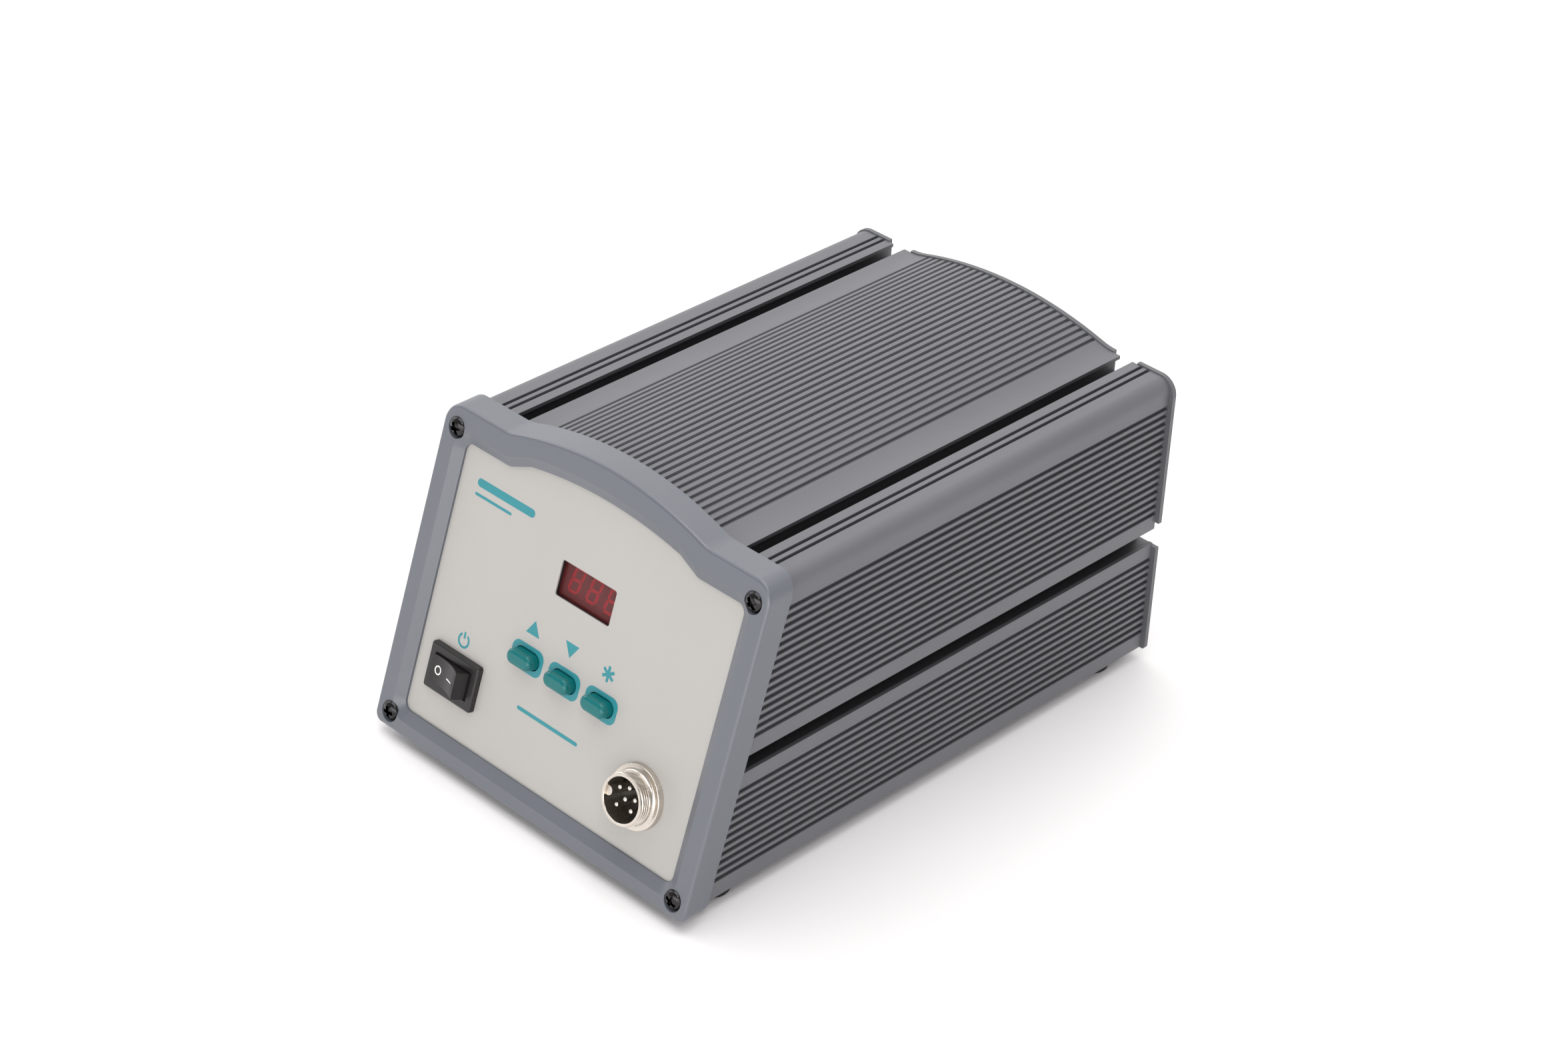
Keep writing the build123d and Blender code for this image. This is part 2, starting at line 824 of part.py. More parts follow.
with BuildPart() as connector_insert:
    with BuildSketch(face.offset(-insert_tail)):
        with Locations((plug_u, plug_v)):
            Circle(plug_bore_r - insert_fit)
    extrude(amount=insert_tail + insert_face)
    with BuildSketch(face.offset(-insert_tail)):
        with Locations(*pin_spots):
            Circle(pin_r + insert_fit)
    extrude(amount=insert_tail + insert_face, mode=Mode.SUBTRACT)

with BuildPart() as connector_key:
    with BuildSketch(face.offset(insert_face)):
        with Locations((plug_u, plug_v)):
            Circle(plug_bore_r - insert_fit)
        with Locations((plug_u - key_at, plug_v)):
            Circle(key_r, mode=Mode.INTERSECT)
    extrude(amount=key_out - insert_face)

with BuildPart() as connector_pins:
    with BuildSketch(face.offset(-pin_tail)):
        with Locations(*pin_spots):
            Circle(pin_r)
    extrude(amount=pin_tail + pin_out)
    fillet(connector_pins.edges().group_by(face_axis)[-1], pin_r / 2)

with BuildPart() as connector_washer:
    with BuildSketch(face.offset(-panel_t)):
        with Locations((plug_u, plug_v)):
            Circle(plug_washer_r)
            Circle(plug_thread_r + plug_hole_fit, mode=Mode.SUBTRACT)
    extrude(amount=-plug_washer_t)

with BuildPart() as connector_nut:
    add(hex_nuts(
        face.offset(-panel_t - plug_washer_t - plug_nut_t), [(plug_u, plug_v)],
        plug_nut_across, plug_nut_t, plug_thread_r + nut_fit,
    ))

# Rear plate
inlet_spot = (-inlet_x, inlet_z)
fuse_spot = (-fuse_x, fuse_z)
jack_spot = (-jack_x, jack_z)
inlet_holes = [(-inlet_x - inlet_screw_x, inlet_z), (-inlet_x + inlet_screw_x, inlet_z)]
with BuildPart() as rear_plate:
    with BuildSketch(rear):
        add(domed(
            half_w + plate_side, 0, body_h + plate_top, dome_half, body_h + dome_rise + plate_top,
            top_r + plate_side, low_r, dome_blend, None,
        ))
        notch_mid = (notch_in + notch_out) / 2
        with Locations((-notch_mid, notch_floor), (notch_mid, notch_floor)):
            Rectangle(
                notch_out - notch_in, body_h, align=(Align.CENTER, Align.MIN), mode=Mode.SUBTRACT
            )
        side_mid = (side_notch_low + side_notch_high) / 2
        with Locations((side_notch_x + half_w, side_mid), (-side_notch_x - half_w, side_mid)):
            Rectangle(2 * half_w, side_notch_high - side_notch_low, mode=Mode.SUBTRACT)
        with Locations(*ports, *inlet_holes):
            Circle(m3_hole_r, mode=Mode.SUBTRACT)
        with Locations(inlet_spot):
            Rectangle(
                inlet_body_w + 2 * blade_fit, inlet_body_h + 2 * blade_fit, mode=Mode.SUBTRACT
            )
        with Locations(fuse_spot):
            Circle(fuse_body_r + fuse_fit, mode=Mode.SUBTRACT)
        with Locations(jack_spot):
            Circle(jack_body_r + jack_fit, mode=Mode.SUBTRACT)
    extrude(amount=-plate_t)

with BuildPart() as rear_screws:
    add(pan_screws(rear, ports, m3_head_r, m3_head_t, m3_head_edge, m3_r, rear_screw_len))

# Mains inlet
rear_axis = Axis(rear.origin, rear.z_dir)
blade_spots = [
    (-inlet_x - blade_x, inlet_z + blade_low), (-inlet_x + blade_x, inlet_z + blade_low),
    (-inlet_x, inlet_z + blade_high),
]
with BuildPart() as mains_inlet:
    with BuildSketch(rear):
        with Locations(inlet_spot):
            RectangleRounded(inlet_flange_w, inlet_flange_h, inlet_flange_t)
        with Locations(*inlet_holes):
            Circle(m3_hole_r, mode=Mode.SUBTRACT)
    extrude(amount=inlet_flange_t)
    with BuildSketch(rear):
        with Locations(inlet_spot):
            Rectangle(inlet_body_w, inlet_body_h)
    extrude(amount=-inlet_body_t)
    with BuildSketch(rear.offset(inlet_flange_t)) as well:
        with Locations(inlet_spot):
            Rectangle(inlet_well_w, inlet_well_h)
        chamfer(well.vertices().group_by(Axis.Y)[-1], inlet_chamfer)
    extrude(amount=-(inlet_flange_t + inlet_well_t), mode=Mode.SUBTRACT)
    with BuildSketch(rear.offset(-inlet_well_t)):
        with Locations(*blade_spots):
            Rectangle(blade_w + 2 * blade_fit, blade_h + 2 * blade_fit)
    extrude(amount=-inlet_body_t, mode=Mode.SUBTRACT)

with BuildPart() as inlet_blades:
    with BuildSketch(rear.offset(-blade_tip)):
        with Locations(*blade_spots):
            Rectangle(blade_w, blade_h)
    extrude(amount=-(blade_tail - blade_tip))

with BuildPart() as inlet_screws:
    add(pan_screws(
        rear.offset(inlet_flange_t), inlet_holes,
        m3_head_r, m3_head_t, m3_head_edge, m3_r, inlet_screw_len,
    ))

with BuildPart() as inlet_nuts:
    add(hex_nuts(
        rear_inside, [(-x, z) for x, z in inlet_holes], m3_nut_across, m3_nut_t, m3_r + nut_fit
    ))

# Fuse holder, cap and fuse
with BuildPart() as fuse_holder:
    with BuildSketch(rear):
        with Locations(fuse_spot):
            Circle(fuse_flange_r)
    extrude(amount=fuse_flange_t)
    with BuildSketch(rear):
        with Locations(fuse_spot):
            Circle(fuse_body_r)
    extrude(amount=-fuse_body_t)
    with BuildSketch(rear.offset(fuse_flange_t)):
        with Locations(fuse_spot):
            Circle(fuse_bore_r)
    extrude(amount=-(fuse_flange_t + fuse_end), mode=Mode.SUBTRACT)

with BuildPart() as fuse_cap:
    with BuildSketch(rear.offset(fuse_flange_t)):
        with Locations(fuse_spot):
            Circle(fuse_cap_r)
    extrude(amount=fuse_cap_out - fuse_flange_t)
    fillet(fuse_cap.edges().group_by(rear_axis)[-1], fuse_edge_r)
    with BuildSketch(rear.offset(fuse_flange_t)):
        with Locations(fuse_spot):
            Circle(fuse_skirt_r)
    extrude(amount=-(fuse_flange_t + fuse_skirt_t))
    with BuildSketch(rear.offset(-fuse_skirt_t)):
        with Locations(fuse_spot):
            Circle(fuse_r + fuse_fit)
    extrude(amount=fuse_skirt_t + fuse_len - fuse_end, mode=Mode.SUBTRACT)
    with BuildSketch(rear.offset(fuse_cap_out)):
        with Locations(fuse_spot):
            Rectangle(2 * fuse_skirt_r, fuse_slot_w)
    extrude(amount=-fuse_slot_t, mode=Mode.SUBTRACT)

with BuildPart() as fuse_link:
    with BuildSketch(rear.offset(-fuse_end)):
        with Locations(fuse_spot):
            Circle(fuse_r)
    extrude(amount=fuse_len)

with BuildPart() as fuse_nut:
    add(hex_nuts(rear_inside, [(fuse_x, fuse_z)], fuse_nut_across, fuse_nut_t, fuse_body_r + nut_fit))

# Earth bonding jack
with BuildPart() as earth_jack:
    with BuildSketch(rear):
        with Locations(jack_spot):
            Circle(jack_flange_r)
    extrude(amount=jack_flange_t)
    chamfer(earth_jack.edges().group_by(rear_axis)[-1], m3_head_edge / 2)
    with BuildSketch(rear):
        with Locations(jack_spot):
            Circle(jack_body_r)
    extrude(amount=-jack_body_t)
    with BuildSketch(rear.offset(jack_flange_t)):
        with Locations(jack_spot):
            Circle(jack_bore_r)
    extrude(amount=-(jack_flange_t + jack_bore_t), mode=Mode.SUBTRACT)

with BuildPart() as earth_nut:
    add(hex_nuts(rear_inside, [(jack_x, jack_z)], jack_nut_across, jack_nut_t, jack_body_r + nut_fit))

# Feet and their screws
foot_names = ("front_left", "front_right", "rear_left", "rear_right")
for name, spot in zip(foot_names, foot_spots):
    with BuildPart() as foot:
        with BuildSketch(Plane.XY):
            with Locations(spot):
                Circle(foot_r)
        extrude(amount=foot_h)
        fillet(foot.edges().group_by(Axis.Z)[0], foot_edge_r)
        with BuildSketch(Plane.XY):
            with Locations(spot):
                Circle(foot_well_r)
        extrude(amount=foot_seat, mode=Mode.SUBTRACT)
        with BuildSketch(Plane.XY):
            with Locations(spot):
                Circle(foot_hole_r)
        extrude(amount=foot_h, mode=Mode.SUBTRACT)
    foot.part.label = "foot_" + name
    export_step(foot.part, "parts/foot_" + name + ".step")

with BuildPart() as foot_screws:
    add(pan_screws(
        Plane(origin=(0, 0, foot_seat), x_dir=(1, 0, 0), z_dir=(0, 0, -1)),
        [(x, -y) for x, y in foot_spots],
        foot_head_r, foot_head_t, foot_head_edge, m3_r, foot_screw_len,
    ))

# Transformer: laminated core, bobbin, winding, strap and its bolts
core_plane = Plane(origin=(0, core_y + core_t / 2, floor_z), x_dir=(1, 0, 0), z_dir=(0, -1, 0))
yoke = (core_h - core_window_h) / 2
window_x = (core_leg + core_window_w) / 2
with BuildPart() as transformer_core:
    with BuildSketch(core_plane):
        with Locations((0, core_h / 2)):
            Rectangle(core_w, core_h)
        with Locations((-window_x, core_h / 2), (window_x, core_h / 2)):
            Rectangle(core_window_w, core_window_h, mode=Mode.SUBTRACT)
    extrude(amount=core_t)

leg_w = core_leg + 2 * bobbin_fit
leg_d = core_t + 2 * bobbin_fit
flange_w = core_leg + 2 * (core_window_w - 2 * bobbin_fit)
flange_d = core_t + 2 * bobbin_out
bobbin_h = core_window_h - 2 * bobbin_fit
with BuildPart() as transformer_bobbin:
    with BuildSketch(floor.offset(yoke)):
        with Locations((0, core_y)):
            Rectangle(flange_w, flange_d)
            Rectangle(leg_w, leg_d, mode=Mode.SUBTRACT)
    extrude(amount=bobbin_t)
    with BuildSketch(floor.offset(yoke)):
        with Locations((0, core_y)):
            Rectangle(leg_w + 2 * bobbin_t, leg_d + 2 * bobbin_t)
            Rectangle(leg_w, leg_d, mode=Mode.SUBTRACT)
    extrude(amount=bobbin_h)
    with BuildSketch(floor.offset(yoke + bobbin_h)):
        with Locations((0, core_y)):
            Rectangle(flange_w, flange_d)
            Rectangle(leg_w, leg_d, mode=Mode.SUBTRACT)
    extrude(amount=-bobbin_t)

with BuildPart() as transformer_winding:
    with BuildSketch(floor.offset(yoke + bobbin_t)):
        with Locations((0, core_y)):
            RectangleRounded(flange_w - 2 * coil_back, flange_d - 2 * coil_back, coil_r)
            Rectangle(
                leg_w + 2 * bobbin_t + 2 * bobbin_fit, leg_d + 2 * bobbin_t + 2 * bobbin_fit,
                mode=Mode.SUBTRACT,
            )
    extrude(amount=bobbin_h - 2 * bobbin_t - bobbin_fit)

strap_in = core_w / 2 + strap_fit
strap_out = strap_in + strap_t
with BuildPart() as transformer_strap:
    with BuildSketch(Plane(
        origin=(0, core_y + strap_w / 2, floor_z), x_dir=(1, 0, 0), z_dir=(0, -1, 0)
    )):
        with BuildLine():
            Polyline(
                (-strap_out - strap_foot, 0), (-strap_in, 0), (-strap_in, core_h), (strap_in, core_h),
                (strap_in, 0), (strap_out + strap_foot, 0), (strap_out + strap_foot, strap_t),
                (strap_out, strap_t), (strap_out, core_h + strap_t), (-strap_out, core_h + strap_t),
                (-strap_out, strap_t), (-strap_out - strap_foot, strap_t), close=True,
            )
        make_face()
    extrude(amount=strap_w)
    with BuildSketch(floor):
        with Locations(*bolt_spots):
            Circle(m4_hole_r)
    extrude(amount=strap_t, mode=Mode.SUBTRACT)

with BuildPart() as transformer_bolts:
    add(pan_screws(
        under, [(x, -y) for x, y in bolt_spots],
        m4_head_r, m4_head_t, m3_head_edge, m4_r, m4_len,
    ))

with BuildPart() as transformer_nuts:
    add(hex_nuts(floor.offset(strap_t), bolt_spots, m4_nut_across, m4_nut_t, m4_r + nut_fit))

# Main board in the housing's guides, with the parts that stand on it
board_z = base_z + guide_z
board_top = Plane.XY.offset(board_z + board_t)
main_y0 = front_y + main_front
main_y1 = rear_y - main_back
with BuildPart() as main_board:
    with BuildSketch(Plane.XY.offset(board_z)):
        with Locations((0, (main_y0 + main_y1) / 2)):
            Rectangle(body_w - 2 * wall - 2 * main_fit, main_y1 - main_y0)
    extrude(amount=board_t)

sink_at = front_y + sink_y
sink_pitch = (sink_w - sink_fin_t) / (sink_fins - 1)
with BuildPart() as heat_sink:
    with BuildSketch(board_top):
        with Locations((0, sink_at)):
            Rectangle(sink_w, sink_base)
        with Locations((0, sink_at + (sink_base + sink_fin_reach) / 2)):
            with GridLocations(sink_pitch, 1, sink_fins, 1):
                Rectangle(sink_fin_t, sink_fin_reach)
    extrude(amount=sink_h)

triac_y = sink_at - sink_base / 2
triac_plane = Plane(origin=(0, triac_y, board_z + board_t), x_dir=(1, 0, 0), z_dir=(0, -1, 0))
with BuildPart() as power_triac:
    with BuildSketch(triac_plane):
        with Locations((0, triac_lift)):
            Rectangle(triac_w, triac_tab_h, align=(Align.CENTER, Align.MIN))
    extrude(amount=triac_tab_t)
    with BuildSketch(triac_plane):
        with Locations((0, triac_lift)):
            Rectangle(triac_w, triac_body_h, align=(Align.CENTER, Align.MIN))
    extrude(amount=triac_body_t)
    with BuildSketch(triac_plane.offset(triac_tab_t)):
        with Locations((0, triac_lift / 2)):
            with GridLocations(triac_leg_pitch, 1, 3, 1):
                Rectangle(triac_leg_w, triac_lift)
    extrude(amount=triac_leg_w)

with BuildPart() as smoothing_capacitor:
    with BuildSketch(board_top):
        with Locations((cap_x, front_y + cap_y)):
            Circle(cap_r)
    extrude(amount=cap_h)
    fillet(smoothing_capacitor.edges().group_by(Axis.Z)[-1], cap_edge_r)

with BuildPart() as bridge_rectifier:
    with BuildSketch(board_top):
        with Locations((bridge_x, front_y + bridge_y)):
            Rectangle(bridge_w, bridge_t)
    extrude(amount=bridge_h)

with BuildPart() as controller_chip:
    with BuildSketch(board_top):
        with Locations((chip_x, front_y + chip_y)):
            Rectangle(chip_w, chip_d)
        with Locations((chip_x - chip_w / 2, front_y + chip_y)):
            Circle(chip_notch_r, mode=Mode.SUBTRACT)
    extrude(amount=chip_t)

with BuildPart() as terminal_block:
    with BuildSketch(board_top):
        with Locations((header_x, front_y + header_y)):
            Rectangle(header_w, header_d)
    extrude(amount=header_h)
    with BuildSketch(board_top.offset(header_h)):
        with Locations((header_x, front_y + header_y)):
            with GridLocations(header_w / header_poles, 1, header_poles, 1):
                Circle(header_well_r)
    extrude(amount=-header_well_t, mode=Mode.SUBTRACT)

pieces = {
    "housing_extrusion": housing_extrusion,
    "front_bezel": front_bezel,
    "bezel_screws": bezel_screws,
    "face_overlay": face_overlay,
    "panel_backing": panel_backing,
    "display_window": display_window,
    "led_display": led_display,
    "display_board": display_board,
    "board_standoffs": board_standoffs,
    "board_screws": board_screws,
    "rocker_frame": rocker_frame,
    "rocker_paddle": rocker_paddle,
    "rocker_tabs": rocker_tabs,
    "connector_shell": connector_shell,
    "connector_insert": connector_insert,
    "connector_key": connector_key,
    "connector_pins": connector_pins,
    "connector_washer": connector_washer,
    "connector_nut": connector_nut,
    "rear_plate": rear_plate,
    "rear_screws": rear_screws,
    "mains_inlet": mains_inlet,
    "inlet_blades": inlet_blades,
    "inlet_screws": inlet_screws,
    "inlet_nuts": inlet_nuts,
    "fuse_holder": fuse_holder,
    "fuse_cap": fuse_cap,
    "fuse_link": fuse_link,
    "fuse_nut": fuse_nut,
    "earth_jack": earth_jack,
    "earth_nut": earth_nut,
    "foot_screws": foot_screws,
    "transformer_core": transformer_core,
    "transformer_bobbin": transformer_bobbin,
    "transformer_winding": transformer_winding,
    "transformer_strap": transformer_strap,
    "transformer_bolts": transformer_bolts,
    "transformer_nuts": transformer_nuts,
    "main_board": main_board,
    "heat_sink": heat_sink,
    "power_triac": power_triac,
    "smoothing_capacitor": smoothing_capacitor,
    "bridge_rectifier": bridge_rectifier,
    "controller_chip": controller_chip,
    "terminal_block": terminal_block,
}
for name, piece in pieces.items():
    piece.part.label = name
    export_step(piece.part, "parts/" + name + ".step")
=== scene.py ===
import math

import bmesh
import bpy
import numpy as np
from mathutils import Matrix, Vector


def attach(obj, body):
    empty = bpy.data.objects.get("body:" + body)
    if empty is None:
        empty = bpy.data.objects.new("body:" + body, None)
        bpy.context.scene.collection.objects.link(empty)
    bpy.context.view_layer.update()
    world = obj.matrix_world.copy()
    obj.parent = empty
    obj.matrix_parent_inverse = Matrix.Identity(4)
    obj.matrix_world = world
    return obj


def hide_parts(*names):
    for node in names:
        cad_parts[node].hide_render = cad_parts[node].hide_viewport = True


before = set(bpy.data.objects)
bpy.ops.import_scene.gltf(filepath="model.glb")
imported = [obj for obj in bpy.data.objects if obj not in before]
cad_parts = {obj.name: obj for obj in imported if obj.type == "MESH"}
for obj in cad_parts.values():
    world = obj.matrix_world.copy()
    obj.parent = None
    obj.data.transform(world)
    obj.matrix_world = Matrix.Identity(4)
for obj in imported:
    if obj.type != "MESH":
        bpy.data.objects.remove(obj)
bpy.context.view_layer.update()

mm = 0.001  # sizes below are in millimetres and become metres here
tiny = 1e-6  # keeps a divisor from zero and a limit from rounding
weld = 2e-7  # points nearer than this, in metres, are one

# The leaning front: u to the right, v up along the face, t out of it
facePlane = {"lean": 17.18, "frontY": -104.5389, "baseZ": 4.5}


def onFace(u, v, t):
    # point = u along X, v up the leaning face, t along its outward normal, from the face's lower middle
    lean = math.radians(facePlane["lean"])
    u, v, t = np.broadcast_arrays(np.asarray(u, float), v, t)
    y = facePlane["frontY"] + v * math.sin(lean) - t * math.cos(lean)
    z = facePlane["baseZ"] + v * math.cos(lean) + t * math.sin(lean)
    return np.stack([u, y, z], axis=-1) * mm


def linearColour(hexText):
    # sRGB hex to the linear values that shaders use
    srgb = np.array([int(hexText[i:i + 2], 16) for i in (0, 2, 4)]) / 255.0
    linear = np.where(srgb <= 0.04045, srgb / 12.92, ((srgb + 0.055) / 1.055) ** 2.4)
    return (*linear.tolist(), 1.0)


def addNode(tree, kind, inputs, **settings):
    # one node with its settings; an input that is a socket is linked, any other value is set
    node = tree.nodes.new(kind)
    for key, value in settings.items():
        setattr(node, key, value)
    for key, value in inputs.items():
        if isinstance(value, bpy.types.NodeSocket):
            tree.links.new(value, node.inputs[key])
        else:
            node.inputs[key].default_value = value
    return node


# a Mix node's two colours and its result, which share their names with its other sockets
mixFirst, mixSecond, mixResult = 6, 7, 2
driftDetail, grainDetail = 3.0, 2.0  # octaves of the two noises


def perMetre(size):
    # texture scale that makes one feature about this many millimetres wide
    return 1.0 / (size * mm)


def grainedFinish(name, low, high, patch, grain, depth, rough, spread,
                  stretch=(1, 1, 1), paintedShade=None, **sockets):
    # Principled surface: colour drifts from low to high over patches of `patch` mm, and grain of `grain`
    # mm moves the gloss by `spread` and the bump by `depth` mm; stretch draws the grain out.
    # painted shade in hollows: walls within the given reach in mm close them off and leave only a part of
    # the colour; two given heights in mm each carry the part left there, and between them it goes evenly
    material = bpy.data.materials.new(name)
    material.use_nodes = True
    tree = material.node_tree
    shader = tree.nodes["Principled BSDF"]
    for key, value in sockets.items():
        shader.inputs[key.replace("_", " ")].default_value = value
    place = addNode(tree, "ShaderNodeTexCoord", {}).outputs["Object"]
    drift = addNode(tree, "ShaderNodeTexNoise", {
        "Vector": place, "Scale": perMetre(patch), "Detail": driftDetail})
    tones = {"Factor": drift.outputs["Fac"], mixFirst: linearColour(low), mixSecond: linearColour(high)}
    colour = addNode(tree, "ShaderNodeMix", tones, data_type="RGBA").outputs[mixResult]
    # painted shade: the piece's own ambient occlusion darkens the base colour in its hollows
    if paintedShade:
        (below, belowLeft), (above, aboveLeft) = paintedShade["shadeFadeHeights"]
        level = addNode(tree, "ShaderNodeSeparateXYZ", {"Vector": place}).outputs["Z"]
        left = addNode(tree, "ShaderNodeMapRange", {
            "Value": level, "From Min": below * mm, "From Max": above * mm,
            "To Min": belowLeft, "To Max": aboveLeft})
        hollow = addNode(tree, "ShaderNodeAmbientOcclusion", {"Distance": paintedShade["reach"] * mm},
                         samples=paintedShade["samples"], only_local=True)
        film = addNode(tree, "ShaderNodeMapRange", {
            "Value": hollow.outputs["AO"], "To Min": left.outputs["Result"], "To Max": 1.0})
        layers = {"Factor": 1.0, mixFirst: colour, mixSecond: film.outputs["Result"]}
        colour = addNode(
            tree, "ShaderNodeMix", layers, data_type="RGBA", blend_type="MULTIPLY").outputs[mixResult]
    tree.links.new(colour, shader.inputs["Base Color"])
    along = addNode(tree, "ShaderNodeMapping", {"Vector": place, "Scale": stretch})
    fine = addNode(tree, "ShaderNodeTexNoise", {
        "Vector": along.outputs["Vector"], "Scale": perMetre(grain), "Detail": grainDetail})
    gloss = addNode(tree, "ShaderNodeMapRange", {
        "Value": fine.outputs["Fac"], "To Min": rough - spread, "To Max": rough + spread})
    tree.links.new(gloss.outputs["Result"], shader.inputs["Roughness"])
    bump = addNode(tree, "ShaderNodeBump", {"Height": fine.outputs["Fac"], "Distance": depth * mm})
    tree.links.new(bump.outputs["Normal"], shader.inputs["Normal"])
    return material


# grain that is finer than about 0.2 mm on the real surface is drawn that coarse, so that it shows
finish = {
    # extruded aluminium, etched and dyed grey: satin, faint die lines along it, and painted shade in its
    # grooves and slots that fades out upwards between 102.9 and 103.9 mm
    "anodised": grainedFinish(
        "aluminium_anodised_grey", "65666a", "6c6c70",
        patch=40, grain=0.5, depth=0.012, rough=0.45, spread=0.05, stretch=(1, 0.02, 1),
        paintedShade={"reach": 12.0, "samples": 8, "shadeFadeHeights": ((102.9, 0.06), (103.9, 1.0))}, Metallic=0.2),
    # ABS from a spark-eroded mould: blue-grey with a fine even grain and a soft sheen
    "bezelAbs": grainedFinish(
        "abs_moulded_grey", "5b5f67", "5f636b",
        patch=25, grain=0.45, depth=0.008, rough=0.36, spread=0.05, IOR=1.75),
    # polyester film with a fine matt face: warm light grey
    "film": grainedFinish(
        "polyester_film_matt", "adaaa6", "b0aeaa",
        patch=30, grain=0.3, depth=0.004, rough=0.4, spread=0.04, IOR=1.57),
    # screen ink seen through the film: flat even teal
    "tealInk": grainedFinish(
        "screen_ink_teal", "28828c", "2d8991",
        patch=8, grain=0.25, depth=0.003, rough=0.45, spread=0.03),
    # pad-printed ink: white, a little uneven
    "whiteInk": grainedFinish(
        "pad_ink_white", "dededb", "f0f0ee",
        patch=1.5, grain=0.2, depth=0.002, rough=0.5, spread=0.05),
    # gloss ABS keycap: deep teal with a bright highlight
    "capAbs": grainedFinish(
        "abs_moulded_teal", "036465", "066b6c",
        patch=6, grain=0.35, depth=0.002, rough=0.18, spread=0.03, IOR=1.46),
    # glass-filled nylon, moulded: near black
    "blackNylon": grainedFinish(
        "nylon_moulded_black", "171718", "1e1e1f",
        patch=5, grain=0.3, depth=0.008, rough=0.42, spread=0.07),
    # mineral-filled phenolic, moulded: dark brown and glossy
    "phenolic": grainedFinish(
        "phenolic_moulded_brown", "150c08", "1b110c",
        patch=3, grain=0.3, depth=0.001, rough=0.24, spread=0.02, IOR=1.42),
    # nylon from a spark-eroded mould: charcoal with a visible grain
    "switchNylon": grainedFinish(
        "nylon_sparked_charcoal", "1a1818", "201e1e",
        patch=5, grain=0.35, depth=0.008, rough=0.33, spread=0.05),
    # bright nickel over turned brass: warm silver with fine turning marks
    "nickel": grainedFinish(
        "brass_nickel_plated", "cfc7bd", "dad3ca",
        patch=4, grain=0.2, depth=0.002, rough=0.28, spread=0.05, Metallic=1.0),
    # tinned contacts: pale silver
    "tinned": grainedFinish(
        "brass_tinned", "d8d4ca", "e2ded6",
        patch=2, grain=0.2, depth=0.002, rough=0.22, spread=0.06, Metallic=1.0),
    # headed steel, black oxide and oil: black with a grey sheen
    "blackSteel": grainedFinish(
        "steel_black_oxide", "383738", "434243",
        patch=2, grain=0.15, depth=0.003, rough=0.22, spread=0.06, Metallic=1.0),
    # zinc plated steel: cool grey with a slight cloud
    "zincSteel": grainedFinish(
        "steel_zinc_plated", "a9aaa8", "bcbdba",
        patch=6, grain=0.3, depth=0.004, rough=0.32, spread=0.08, Metallic=1.0),
    # powder coated sheet steel: grey with fine orange peel
    "paintedSheet": grainedFinish(
        "steel_powder_coated", "5d5e61", "646568",
        patch=20, grain=0.8, depth=0.02, rough=0.48, spread=0.05),
    # moulded rubber: soft dull black
    "rubber": grainedFinish(
        "rubber_moulded", "151515", "1d1d1d",
        patch=6, grain=0.4, depth=0.02, rough=0.75, spread=0.05),
    # cast acrylic, dyed red and polished: glossy, half clear
    "redAcrylic": grainedFinish(
        "acrylic_cast_red", "6a2628", "702a2c",
        patch=12, grain=0.6, depth=0.0003, rough=0.06, spread=0.01, IOR=1.49, Alpha=0.4),
    # red-filled epoxy face of the display: dull
    "displayFace": grainedFinish(
        "epoxy_cast_red", "804647", "884a4b",
        patch=5, grain=0.3, depth=0.001, rough=0.5, spread=0.05),
    # diffusing red epoxy of a segment lit low: bright and waxy
    "segments": grainedFinish(
        "epoxy_cast_diffusing", "ff2038", "ff2640",
        patch=2, grain=0.2, depth=0.002, rough=0.4, spread=0.05, Emission_Color=linearColour("ff2038"),
        Emission_Strength=0.12),
    # the same epoxy, unlit
    "points": grainedFinish(
        "epoxy_cast_unlit", "b83a42", "be3e46",
        patch=2, grain=0.2, depth=0.002, rough=0.4, spread=0.05),
    # glass-epoxy board under green solder mask
    "board": grainedFinish(
        "glass_epoxy_masked", "14462a", "1a5232",
        patch=10, grain=0.6, depth=0.008, rough=0.3, spread=0.05),
    # varnished laminations: brown-grey with fine lines across the stack
    "laminations": grainedFinish(
        "silicon_steel_laminated", "4a4540", "565049",
        patch=12, grain=0.5, depth=0.03, rough=0.4, spread=0.08, stretch=(0.05, 1, 0.05), Metallic=0.6),
    # winding under yellow polyester tape
    "tape": grainedFinish(
        "polyester_tape_wound", "b98a2f", "c79a3f",
        patch=10, grain=1.2, depth=0.03, rough=0.3, spread=0.06, stretch=(0.1, 0.1, 1)),
    # uncoloured nylon: cream and waxy
    "naturalNylon": grainedFinish(
        "nylon_moulded_natural", "cfc8b4", "d8d1be",
        patch=8, grain=0.4, depth=0.01, rough=0.45, spread=0.05),
    # extruded aluminium left bare
    "bareAluminium": grainedFinish(
        "aluminium_extruded_bare", "b4b5b7", "bfc0c2",
        patch=10, grain=0.3, depth=0.005, rough=0.35, spread=0.08, stretch=(1, 1, 0.03), Metallic=1.0),
    # PVC sleeve shrunk on a can
    "sleeve": grainedFinish(
        "pvc_sleeve_shrunk", "15203a", "1a2744",
        patch=6, grain=0.4, depth=0.004, rough=0.25, spread=0.05),
    # moulded terminal block
    "greenPolyamide": grainedFinish(
        "polyamide_moulded_green", "2f7d45", "37894e",
        patch=6, grain=0.4, depth=0.008, rough=0.45, spread=0.05),
    # drawn glass tube
    "glassTube": grainedFinish(
        "glass_drawn_tube", "e4ecec", "eef4f4",
        patch=6, grain=0.5, depth=0.0005, rough=0.04, spread=0.01, Transmission_Weight=1.0),
    # plain matt paper sweep
    "paper": grainedFinish(
        "paper_sweep", "f6f4f4", "f8f6f6",
        patch=300, grain=2.0, depth=0.01, rough=0.9, spread=0.02),
}
print("finishes:", len(finish))

